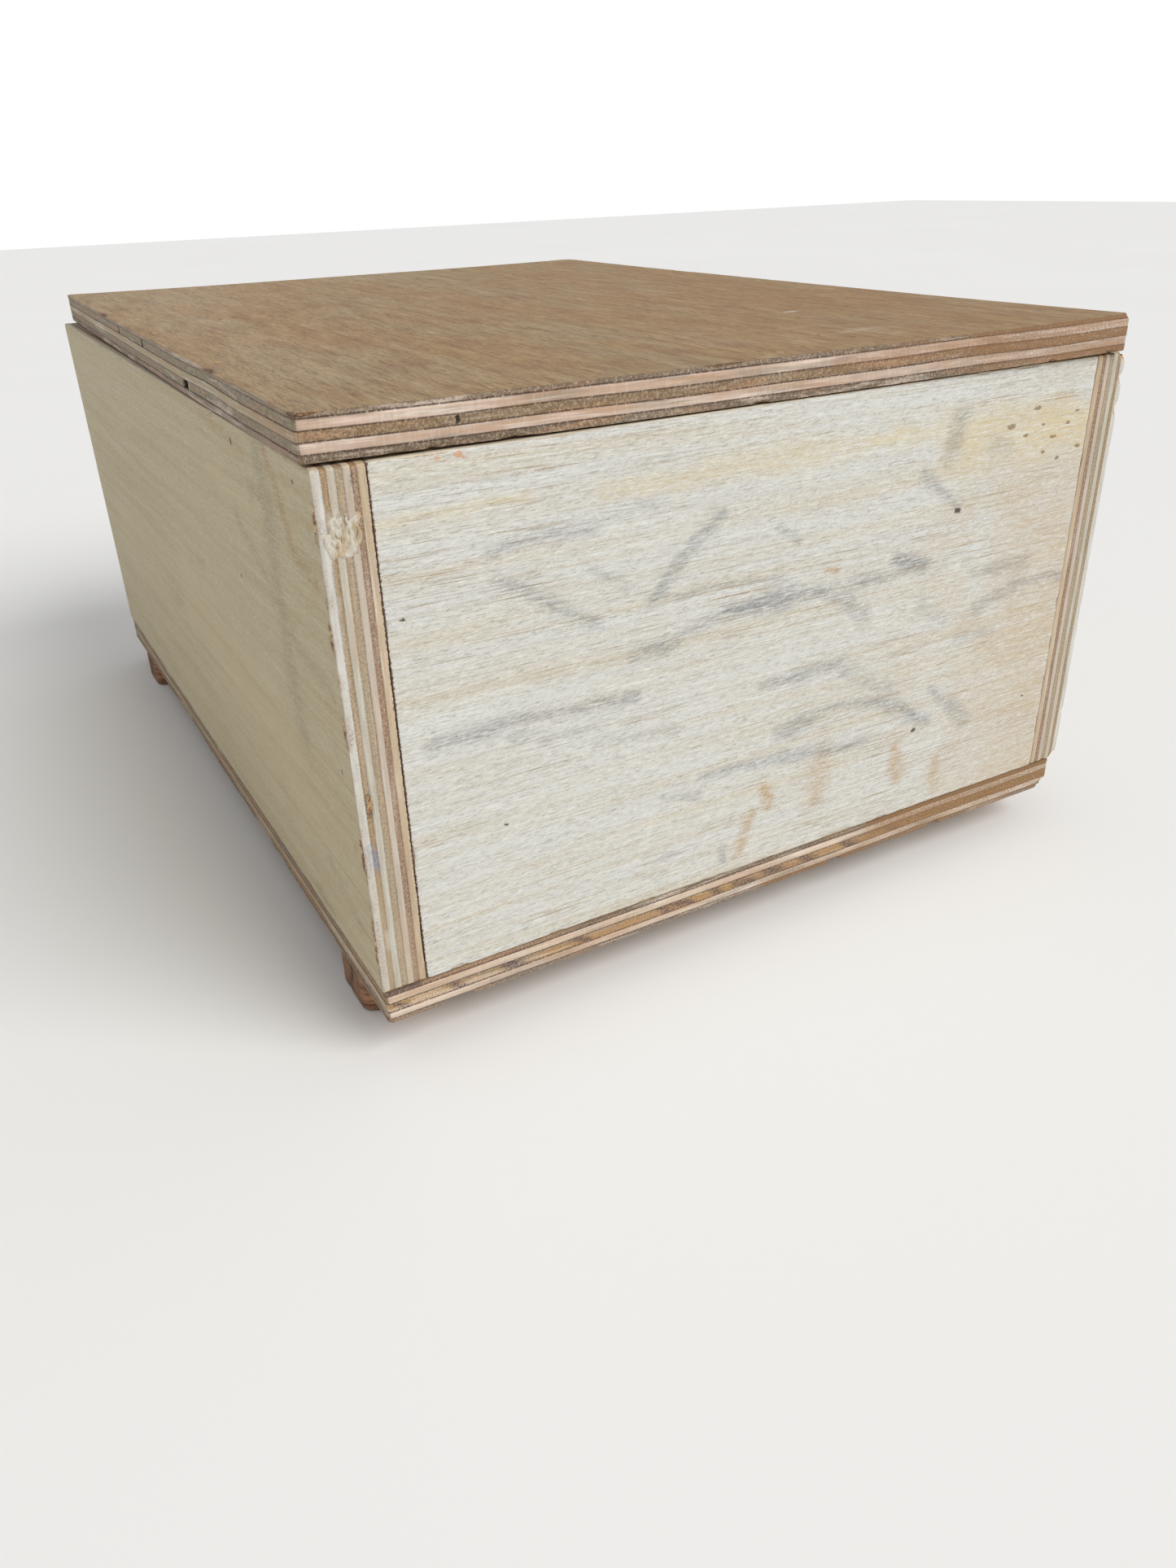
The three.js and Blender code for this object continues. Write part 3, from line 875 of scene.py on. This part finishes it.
def add_bottom():
    board = Board("bottom_panel", (0, 1, 0), (0, 0, -1))
    (left, front, low), (right, _, _) = box_mm(board.node)
    chips = [
        (left + 184, front, (3.5, 2.5, 1.8), 1.2), (left + 236, front, (2.5, 2, 1.8), 1.0),
        (right, front, (6, 6, 4), 2.5), (left, front, (1.5, 1.5, 1.2), 0.8),
        (left, front + 120, (2, 9, 2), 0.8), (left, front + 260, (2, 14, 2), 0.8),
    ]
    damage = [((x, y, low), reach, deep) for x, y, reach, deep in chips]
    peels = [(25, (4.2, 7, 6)), (184, (2.6, 3, 6)), (236, (1.8, 3, 6))]
    missing = [((left + along, front, low), reach) for along, reach in peels]
    paint = [("blotch", rgb(84, 68, 72), 0.9), ("browned", rgb(136, 102, 66), 1.3)]
    add_board(board, BOTTOM_PLIES[::-1], lid_face, 2.5, 2, "board_ply", damage, starting("bottom_brad"),
              paint, (), bottom_layers, missing=missing, corner=1.2, seed=30)


# ---- the walls ----
# Places on the front and on a wall's front edge are millimetres right of and below this corner.
FRONT_LEFT, FRONT_TOP = -152.5, 190.0
SCUFFS = [
    (4.5, 0.4, 50, 28, 82, 26), (4, 0.22, 60, 26, 105, 22), (3.5, 0.45, 49, 36, 64, 45, 82, 57),
    (3, 0.25, 78, 37, 92, 47), (4.5, 0.5, 127, 30, 112, 42, 100, 53),
    (3, 0.42, 100, 53, 125, 53, 150, 55), (4.5, 0.52, 95, 70, 110, 69), (3.5, 0.36, 110, 67, 135, 62),
    (5.5, 0.68, 130, 62, 155, 62), (4.5, 0.58, 158, 62, 175, 64), (4.5, 0.42, 175, 65, 190, 75),
    (3.5, 0.42, 180, 63, 215, 62), (4.5, 0.68, 200, 58, 215, 63), (4.5, 0.5, 25, 83, 60, 81, 95, 84),
    (3, 0.35, 50, 86, 58, 87), (3, 0.25, 62, 90, 80, 91), (3.5, 0.25, 80, 95, 110, 100),
    (7, 0.45, 225, 12, 222, 24), (3.5, 0.45, 210, 30, 228, 43), (7, 0.28, 243, 25, 249, 25),
    (3, 0.4, 150, 38, 157, 44), (6, 0.42, 240, 70, 268, 70), (5.5, 0.42, 245, 84, 265, 79, 290, 79),
    (4.5, 0.48, 145, 92, 180, 92), (6, 0.28, 180, 95, 205, 108),
    (5.5, 0.46, 155, 112, 180, 108, 200, 111, 225, 126), (2.8, 0.6, 185, 107, 213, 117, 222, 124),
    (5.5, 0.42, 225, 112, 245, 130), (4, 0.46, 120, 120, 150, 122, 190, 126),
    (5, 0.48, 191, 126, 195, 126), (2.5, 0.32, 105, 122, 120, 128), (5.5, 0.34, 180, 70, 190, 78),
    (4, 0.25, 235, 95, 255, 95), (2.5, 0.45, 130, 152, 130, 158), (2.5, 0.35, 105, 147, 110, 147),
    (5, 0.22, 215, 78, 228, 86),
]
STAINS = [
    (4.5, 0.42, 148, 131, 151, 141), (3, 0.75, 149, 135, 151, 138),
    (4.5, 0.45, 143, 142, 140, 148, 137, 156), (8, 0.36, 175, 126, 172, 144),
    (7.5, 0.48, 210, 134, 212, 146), (8, 0.4, 232, 144, 234, 158), (1.8, 0.9, 170, 57, 176, 57),
]
YELLOWED = [
    (7, 0.4, 85, 17, 290, 17), (6, 0.38, 120, 14, 160, 15), (5, 0.62, 185, 16, 215, 16),
    (2.5, 0.45, 15, 15, 60, 15), (17, 0.7, 225, 20, 290, 22),
]
# Painted warm light and painted shade: the front's right part turns warmer and darker.
WARM_LIGHT_AND_SHADE = [(95, 0.85, 290, 60, 290, 160)]
FRONT_DOTS = [(20, 42.5, 0.9), (46.7, 115.5, 0.8), (228.5, 45, 1.9), (219, 128, 1.6), (278, 128, 0.8)]
FRONT_KNOTS = [
    (250, 19, 2.6), (258, 23, 1.7), (262, 14, 2.2), (272, 25, 1.9), (268, 30, 1.4), (286, 30, 1.8),
    (276, 33, 1.5), (283, 17, 1.2), (266, 20, 1.1), (279, 21, 1.4),
]
FRONT_SPECKS = [(34.6, 0.9, 1.0), (36.4, 1.6, 0.5), (40.4, 0.4, 1.8), (41.8, 1.6, 0.8), (43.4, 0.6, 0.6)]
# The joint's dark line is painted: partly dirt, partly the shade in the narrow gap between the boards.
JOINT = (15.0, 82.0)  # the middle of the dark line where the front meets the left wall
JOINT_HALF, JOINT_REACH = 0.38, 200.0  # half its width, and how far it runs, well past both ends
JOINT_DIRT_AND_SHADE = rgb(98, 66, 46)
LEFT_SMUDGES = [
    (14, 0.38, 368, 0, 372, 90), (7, 0.4, 355, 17, 375, 17), (6, 0.4, 330, 30, 380, 55),
    (5, 0.35, 375, 58, 412, 62), (4, 0.35, 235, 68, 260, 65), (4, 0.35, 180, 100, 192, 98),
    (4, 0.35, 380, 135, 405, 145), (6, 0.45, 355, 157, 375, 160),
]
LEFT_WATER = [(4, 0.75, 378, 0, 388, 15, 395, 27, 415, 32), (4, 0.4, 300, 2, 352, 5)]
# Painted light: paler patches across the middle of the left wall, where more light falls than at its ends
# and top.
LEFT_PAINTED_LIGHT = [(46, 0.6, 225, 92, 345, 108), (30, 0.35, 60, 95, 150, 100), (9, 0.5, 300, 20, 350, 24)]
LEFT_DOTS = [(340, 5, 1.4), (403, 5, 0.8), (322, 52, 1.0), (410, 88, 0.7)]
EDGE_FILLER = [(4.5, 0.9, 5, 13, 6, 21), (2.2, 0.8, 3.5, 141, 3.5, 146), (1.6, 0.5, 2.5, 8, 2, 60)]
EDGE_RAGGED = [(2.0, 1.0, 0.4, start, 0.4, end) for start, end in (
    (7, 19), (30, 34), (40, 49), (56, 59), (67, 76), (84, 88), (103, 122), (128, 131), (136, 164)
)]
EDGE_INK = [(3.0, 0.9, 2.5, 109, 3.2, 117)]
# Darker towards the bottom of the left wall's front edge.
EDGE_DARKER_LOW = [(4.5, 0.8, 2, 122, 2, 164), (1.8, 0.5, 2, 90, 2, 122), (5, 0.5, 9, 140, 9, 164)]
EDGE_DIRT = [(1.4, 1.0, 4, 93, 4.4, 99), (1.2, 0.9, 10.5, 2, 10.5, 4), (1.2, 0.6, 2.5, 12, 1.5, 19)]


def front_place(board, x, y):
    """The board's own place for one on the front."""
    return board.to_board((x + FRONT_LEFT, box_mm(board.node)[0, 1], FRONT_TOP - y))


def side_place(board, x, y):
    """The board's own place for one on the left wall, x millimetres from its back end."""
    (left, _, _), (_, back, _) = box_mm(board.node)
    return board.to_board((left, back - x, FRONT_TOP - y))


def front_layers(board, points):
    places = np.stack([points[:, 0] - FRONT_LEFT, FRONT_TOP - points[:, 2]], 1)
    outside = points[:, 1] < board.middle[1]
    layers = {"scuff": SCUFFS, "stain": STAINS, "yellow": YELLOWED, "warm_light_and_shade": WARM_LIGHT_AND_SHADE}
    return {name: outside * painted(places, strokes) for name, strokes in layers.items()}


def left_layers(board, points):
    (_, front, _), (_, back, _) = box_mm(board.node)
    across, down = points[:, 0] - FRONT_LEFT, FRONT_TOP - points[:, 2]
    outside, at_front = points[:, 0] < board.middle[0] - 7, points[:, 1] < front + 0.5
    on_side, on_edge = np.stack([back - points[:, 1], down], 1), np.stack([across, down], 1)
    corner = np.stack([across + points[:, 1] - front, down], 1)
    side = {"smudge": LEFT_SMUDGES, "water": LEFT_WATER, "pale": LEFT_PAINTED_LIGHT}
    edge = {"filler": EDGE_FILLER, "ink": EDGE_INK, "dirt": EDGE_DIRT, "aged": EDGE_DARKER_LOW}
    patchy = (outside | at_front) * (0.6 + 0.4 * lumps(points, 4, 24))
    return {
        **{name: outside * painted(on_side, strokes) for name, strokes in side.items()},
        **{name: at_front * painted(on_edge, strokes) for name, strokes in edge.items()},
        "ragged": patchy * painted(corner, EDGE_RAGGED),
    }


# Painted shade: the left wall's copy of the poplar is darker, yellower and lower in contrast, for the warm
# shade on that side.
def shaded_left_face(graph, place):
    return poplar_face(graph, place, rgb(199, 185, 150), rgb(190, 174, 135), 0.5)


def bright_face(graph, place):
    return poplar_face(graph, place, rgb(207, 207, 202), rgb(204, 198, 183), 1.0)


def aged_face(graph, place):
    return poplar_face(graph, place, rgb(206, 201, 186), rgb(200, 188, 162), 0.8)


def add_left_wall():
    board = Board("left_side_panel", (0, 1, 0), (-1, 0, 0))
    left, front, _ = box_mm(board.node)[0]
    chips = [(13, 6), (44, 5), (71, 4), (112, 8), (145, 11)]
    damage = [((left, front + 1.8, FRONT_TOP - down), (1.2, 2.0, reach), 0.8) for down, reach in chips]
    damage.append(((left + 4, front, FRONT_TOP - 96), (0.8, 3, 3.5), 1.0))
    paint = [
        # The pale tone is painted light over the middle of the wall.
        ("pale", rgb(222, 204, 162), 0.45), ("smudge", rgb(128, 118, 98), 0.8),
        ("water", rgb(160, 118, 66), 0.7), ("filler", rgb(216, 216, 214), 0.9),
        ("ink", rgb(112, 132, 168), 0.85), ("dirt", rgb(70, 50, 38), 0.9),
        # This tone makes the lower part of the wall's front edge darker.
        ("aged", rgb(176, 158, 130), 0.9), ("ragged", rgb(134, 88, 52), 1.0),
    ]
    joint = board.to_board((FRONT_LEFT + JOINT[0], front, FRONT_TOP - JOINT[1]))
    dots = [
        (rgb(84, 58, 38), 0.85, marks(side_place, board, LEFT_DOTS)),
        # The joint line, painted as dirt and as the shade in the gap.
        (JOINT_DIRT_AND_SHADE, 0.85, [(joint, (2, JOINT_REACH, JOINT_HALF))]),
    ]
    brads = starting("corner_brad_front_left", "corner_brad_back_left", "rib_brad_left")
    add_board(board, WALL_PLIES, shaded_left_face, 3, 2, "wall_ply", damage, brads, paint, dots, left_layers,
              seed=50)


def add_right_wall():
    board = Board("right_side_panel", (0, 1, 0), (1, 0, 0))
    (_, front, low), (right, _, high) = box_mm(board.node)
    chips = [
        (high, (4, 3, 4), 1.6), (high - 9, (2.5, 2.5, 3), 1.1), (high - 20, (2.5, 2.5, 3.5), 1.1),
        (low, (4, 3, 4), 1.6), (high - 143, (1.5, 2, 2), 0.7),
    ]
    damage = [((right, front + 1, height), reach, deep) for height, reach, deep in chips]
    brads = starting("corner_brad_front_right", "corner_brad_back_right", "rib_brad_right")
    add_board(board, WALL_PLIES, aged_face, 3, 2, "wall_ply", damage, brads, seed=70)


def add_front_wall():
    board = Board("front_end_panel", (1, 0, 0), (0, -1, 0))
    paint = [
        # The first tone is painted warm light and shade over the front's right part.
        ("warm_light_and_shade", rgb(192, 168, 134), 0.6), ("yellow", rgb(214, 190, 118), 0.62),
        ("stain", rgb(176, 138, 84), 1.25), ("scuff", rgb(120, 122, 126), 1.0),
    ]
    dots = [
        (rgb(60, 50, 40), 0.9, marks(front_place, board, FRONT_DOTS, 0.6)),
        (rgb(118, 86, 46), 0.7, marks(front_place, board, FRONT_KNOTS, 0.45)),
        (rgb(205, 126, 28), 0.55, marks(front_place, board, FRONT_SPECKS, 0.55)),
        # The joint line, painted as dirt and as the shade in the gap.
        (JOINT_DIRT_AND_SHADE, 0.85, [(front_place(board, *JOINT), (JOINT_HALF, JOINT_REACH, 2))]),
    ]
    add_board(board, WALL_PLIES, bright_face, 1.5, 1, "wall_ply", (), (), paint, dots, front_layers,
              seed=90)


def add_inner_walls():
    back = Board("back_end_panel", (1, 0, 0), (0, 1, 0))
    add_board(back, WALL_PLIES, aged_face, 1.8, 1, "wall_ply", seed=110)
    rib = Board("centre_rib", (1, 0, 0), (0, -1, 0))
    add_board(rib, WALL_PLIES, bright_face, 4, 1, "wall_ply", seed=130)


# ---- the torn fibres where a brad once broke out of the left wall's front edge ----
SPLINTERS = 16
SPLINTER_STEPS = 9
PATCH_RINGS, PATCH_STEPS = 20, 72
PATCH_MIDDLE, PATCH_REACH = (7.0, 16.8), (7.2, 7.4)  # across and down the edge
PATCH_RIM, PATCH_FOOT = -1.2, -1.4  # how far its rim and its hidden underside stand out of the edge
CURL = ((9.0, 13.2), (12.6, 16.0), (9.6, 19.4))  # the places along one larger fibre


def on_wall_edge(across, down, out):
    """The place of a point of the left wall's front edge, standing out from it."""
    return np.array([FRONT_LEFT + across, box_mm("left_side_panel")[0, 1] - out, FRONT_TOP - down])


def strand(path, width, lift):
    """A torn fibre along a bent path of three places, sunk at both ends. Its vertices and its polygons."""
    start, bend, end = (np.array(place) for place in path)
    rings = []
    for share in np.linspace(0, 1, SPLINTER_STEPS):
        across, down = (1 - share) ** 2 * start + 2 * share * (1 - share) * bend + share ** 2 * end
        turn = 2 * (1 - share) * (bend - start) + 2 * share * (end - bend)
        side = np.array([turn[1], 0, turn[0]]) / np.hypot(*turn)
        middle = on_wall_edge(across, down, lift * math.sin(math.pi * share) - 0.5)
        half = width / 2 * (0.7 + 0.3 * math.sin(9 * share + 40 * width))
        offsets = (-side, (0, -0.6, 0), side, (0, 0.6, 0))
        rings.append([middle + half * np.array(offset) for offset in offsets])
    return np.concatenate(rings), capped_rings(SPLINTER_STEPS, 4)


def smeared_patch():
    """The lumpy crushed wood round the blow-out: a low mound whose rim sinks into the edge."""
    shares = np.concatenate([np.linspace(0.02, 1.0, PATCH_RINGS), [0.6, 0.02]])
    angles = circle(PATCH_STEPS)
    flat = np.stack([np.outer(shares, np.cos(angles)), np.outer(shares, np.sin(angles))], -1)
    places = np.array(PATCH_MIDDLE) + flat * np.array(PATCH_REACH)
    points = np.concatenate([places, np.zeros(places.shape[:-1] + (1,))], -1)
    height = 0.35 * lumps(points, 1.5, 60) + 0.22 * lumps(points * (1, 0.5, 1), 0.7, 61) + 0.2
    out = height - 0.9 * fade(shares[:, None] + 0.3 * lumps(points, 3, 62), 1.0, 0.58)
    out[PATCH_RINGS:] = PATCH_FOOT
    out[PATCH_RINGS - 1] = PATCH_RIM
    made = np.array([[on_wall_edge(*place, up) for place, up in zip(*ring)] for ring in zip(places, out)])
    return made.reshape(-1, 3), capped_rings(len(shares), PATCH_STEPS)


def add_splinters():
    chance = np.random.default_rng(SEED)
    parts = [smeared_patch(), strand(CURL, 1.3, 1.3)]
    for _ in range(SPLINTERS):
        start = np.array([chance.uniform(2, 12), chance.uniform(12.5, 20)])
        reach = np.array([chance.uniform(-1.6, 1.6), chance.choice([-1, 1]) * chance.uniform(1.8, 4.5)])
        bend = start + reach / 2 + chance.uniform(-1.6, 1.6, 2)
        end = np.clip(start + reach, (1.5, 11.5), (13, 22.5))
        parts.append(strand((start, bend, end), chance.uniform(0.35, 0.8), chance.uniform(0.6, 0.95)))
    points, polygons = [], []
    for made, faces in parts:
        polygons += [[len(points) + corner for corner in face] for face in facing_out(made, faces)]
        points += made.tolist()
    points = np.array(points)
    piece = new_object("splinters_left_wall", points, polygons, splinter_wood())
    store(piece, "grain", points[:, [2, 0, 1]])
    finish_piece(piece, [])


# ---- the feet ----
FOOT_SIDES = 6
FOOT_STEPS = 16  # points along each side of a foot
FOOT_CORNER = 2.1  # how far a foot's rounded corner stands out past its flats
FOOT_BEVEL = ((1.3, 0.0), (0.4, 0.3), (0.0, 1.0))  # inset and height of the rows round its lower edge
FOOT_FLANK_ROWS = 18
SINK_RADIUS, SHANK_RADIUS = 4.1, 2.05  # of the countersunk hole
SINK_EASE, SINK_RIM, SINK_DEPTH = 0.2, 1.5, 3.7
FOOT_GRAIN_STEP = 40.0  # moves each foot to its own part of the wood


def foot_mesh(height, apothem, seed):
    """A six-sided block with flats facing -X and +X and a countersunk hole, stood on its underside."""
    angles = circle(FOOT_SIDES * FOOT_STEPS)
    wedge = math.pi / FOOT_SIDES
    outer = np.minimum(apothem / np.cos((angles + wedge) % (2 * wedge) - wedge), apothem + FOOT_CORNER)
    radii = (SHANK_RADIUS, SINK_RADIUS, SINK_RADIUS + SINK_EASE)
    shank, sink, rim = (np.full_like(outer, radius) for radius in radii)
    bevel, top = FOOT_BEVEL[0][0], FOOT_BEVEL[-1][1]
    rows = [(shank, height), (shank, SINK_DEPTH), (sink, SINK_RIM), (sink, SINK_EASE), (rim, 0.0)]
    rows += [(rim + (outer - bevel - rim) * share, 0.0) for share in (0.2, 0.4, 0.6, 0.8)]
    rows += [(outer - inset, up) for inset, up in FOOT_BEVEL]
    rows += [(outer, up) for up in np.linspace(top, height - top, FOOT_FLANK_ROWS)[1:-1]]
    rows += [(outer - inset, height - up) for inset, up in reversed(FOOT_BEVEL)]
    rows += [(rim + (outer - bevel - rim) * share, height) for share in (0.7, 0.35)]
    radius = np.stack([row[0] for row in rows])
    up = np.repeat(np.array([row[1] for row in rows])[:, None], len(angles), 1)
    place = np.stack([radius * np.cos(angles), radius * np.sin(angles), up], -1)
    on_side = (radius > outer - bevel - 0.01) * fade(np.minimum(up, height - up), 0.6, 0)
    worn = 0.16 + 0.16 * lumps(place, 7, seed) + 0.07 * lumps(place * (0.3, 0.3, 1), 0.9, seed + 1)
    edges = np.clip(lumps(place, 3.5, seed + 2) - 0.1, 0, 1) * (radius > outer - 0.6) * fade(up, 0, 3)
    made = place.copy()
    made[..., :2] *= (1 - (on_side * worn + 0.5 * edges) / radius)[..., None]
    flank = fade(np.abs(np.cos(angles)), 0.96, 0.86) * np.ones_like(up)
    polygons = ring_polygons(len(rows), len(angles)) + closing_quads(len(rows), len(angles))
    return made.reshape(-1, 3), polygons, place.reshape(-1, 3), flank.ravel()


def closing_quads(rings, points):
    """The quads that join the last ring to the first."""
    last = (rings - 1) * points
    return [[last + i, i, (i + 1) % points, last + (i + 1) % points] for i in range(points)]


def underside(node):
    """The middle of a part's underside, half its width and its height, all in millimetres."""
    low, high = box_mm(node)
    return np.append((low[:2] + high[:2]) / 2, low[2]), (high[0] - low[0]) / 2, high[2] - low[2]


def add_feet():
    wood = foot_wood()
    nodes = [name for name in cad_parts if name.startswith("foot_") and "screw" not in name]
    for number, node in enumerate(nodes):
        middle, apothem, height = underside(node)
        made, polygons, rest, flank = foot_mesh(height, apothem, 200 + 10 * number)
        piece = new_object("block_" + node, made + middle, facing_out(made, polygons), wood)
        store(piece, "grain", rest + (0, 0, FOOT_GRAIN_STEP * number))
        store(piece, "flank", flank)
        finish_piece(piece, [node])


# ---- the screws and brads ----
SCREW_ANGLES = 48
SHANK, THREAD_PITCH, THREAD_DEPTH = 1.75, 1.5, 0.42  # the shank's radius, then its thread
THREAD_STEP = 0.22  # between the rings of vertices up the shank
RECESS_ARM, RECESS_HALF, RECESS_DEPTH = 2.05, 0.45, 1.5  # the cross in a screw's head
HEAD_RINGS, HEAD_MIDDLE = 22, 0.12  # rings of vertices on the head, and the radius of the innermost
HEAD_RIM, HEAD_HEIGHT, TIP_LENGTH = 0.4, 2.4, 4.0
HEAD_CLEAR = 0.01  # keeps the head clear of its sink


def screw_mesh(head, length):
    """A countersunk wood screw with a cross recess and a thread, head down at height 0 and pointing up."""
    angles = circle(SCREW_ANGLES)
    round_way = np.stack([np.cos(angles), np.sin(angles)], 1)
    points = []
    for radius in np.linspace(HEAD_MIDDLE, head, HEAD_RINGS):
        x, y = radius * round_way.T
        turned = (np.abs(x + y) / math.sqrt(2), np.abs(x - y) / math.sqrt(2))
        arms = [fade(a, RECESS_ARM - 0.3, RECESS_ARM) * fade(b, RECESS_HALF - 0.1, RECESS_HALF + 0.1)
                for a, b in (turned, turned[::-1])]
        points.append(np.stack([x, y, RECESS_DEPTH * np.maximum(*arms)], 1))
    cone, shank = np.linspace(HEAD_RIM, HEAD_HEIGHT, 6), np.arange(HEAD_HEIGHT + 0.4, length, THREAD_STEP)
    for height in (*cone, *shank):
        ridge = 1 - 2 * np.abs((height / THREAD_PITCH - angles / (2 * math.pi)) % 1 - 0.5)
        threaded = fade(height, HEAD_HEIGHT + 2.5, HEAD_HEIGHT + 1)
        narrowing = min(1.0, max((length - height) / TIP_LENGTH, 0.08))
        body = SHANK - THREAD_DEPTH + THREAD_DEPTH * (threaded * ridge ** 2 + (1 - threaded))
        flare = (head - SHANK) * max(1 - (height - HEAD_RIM) / (HEAD_HEIGHT - HEAD_RIM), 0)
        radius = body * narrowing + flare
        points.append(np.insert(radius[:, None] * round_way, 2, height, axis=1))
    made = np.concatenate(points)
    return made, facing_out(made, capped_rings(len(points), SCREW_ANGLES))


def add_screws(steel):
    for node in [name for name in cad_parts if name.startswith("foot_screw")]:
        middle, head, height = underside(node)
        made, polygons = screw_mesh(head - HEAD_CLEAR, height)
        piece = new_object("threaded_" + node, made + middle, polygons, steel)
        finish_piece(piece, [node])


def add_brads(steel):
    for name in BRAD_NODES:
        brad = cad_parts[name]
        brad.data.materials.clear()
        brad.data.materials.append(steel)


# ---- the camera, the light and the studio ----
def add_camera():
    data = bpy.data.cameras.new("camera")
    data.lens, data.sensor_width = CAMERA_LENS, CAMERA_SENSOR
    camera = linked("camera", data)
    forward, right = Vector(CAMERA_FORWARD).normalized(), Vector(CAMERA_RIGHT).normalized()
    turn = Matrix((right, right.cross(forward), -forward)).transposed().to_4x4()
    camera.matrix_world = Matrix.Translation(CAMERA_PLACE) @ turn
    bpy.context.scene.camera = camera


def add_light():
    """One wide soft light, far off in the direction of its place, that looks at the middle of the box."""
    data = bpy.data.lights.new("key", "SUN")
    data.angle, data.energy, data.color = KEY_SPREAD, KEY_POWER, KEY_COLOUR
    lamp = linked("key", data)
    aim = (cad_box[0] + cad_box[1]) / 2 - Vector(KEY_PLACE)
    lamp.location = KEY_PLACE
    lamp.rotation_euler = aim.to_track_quat("-Z", "Y").to_euler()


def add_floor():
    graph = Graph("studio_floor")
    cloud = graph.noise(graph.add("TexCoord", {}, "Object"), (1.5, 1.5, 1.5), 2)
    colour = graph.mix(cloud, (0.88, 0.88, 0.875), (0.92, 0.92, 0.915))
    mesh = bpy.data.meshes.new("floor")
    corners = [(x * FLOOR_REACH, y * FLOOR_REACH) for x, y in ((-1, -1), (1, -1), (1, 1), (-1, 1))]
    mesh.from_pydata([(x, y, -FLOOR_GAP) for x, y in corners], [], [(0, 1, 2, 3)])
    mesh.materials.append(graph.finish(colour, 0.8, cloud, 0.05))
    floor = linked("floor", mesh)


def add_surround():
    """White to the camera, and SKY_LIGHT as strong for everything else."""
    world = bpy.data.worlds.new("studio")
    world.use_nodes = True
    nodes, links = world.node_tree.nodes, world.node_tree.links
    background = nodes["Background"]
    background.inputs["Color"].default_value = (1.0, 1.0, 1.0, 1)
    path, strength = nodes.new("ShaderNodeLightPath"), nodes.new("ShaderNodeMapRange")
    strength.inputs["To Min"].default_value = SKY_LIGHT
    strength.inputs["To Max"].default_value = 1.0
    links.new(path.outputs["Is Camera Ray"], strength.inputs["Value"])
    links.new(strength.outputs[0], background.inputs["Strength"])
    bpy.context.scene.world = world
    bpy.context.scene.view_settings.view_transform = "Standard"


add_camera()
add_floor()
add_surround()
add_light()
add_lid()
add_bottom()
add_left_wall()
add_right_wall()
add_front_wall()
add_inner_walls()
add_splinters()
add_feet()
fastener_steel = zinc_steel()
add_screws(fastener_steel)
add_brads(fastener_steel)
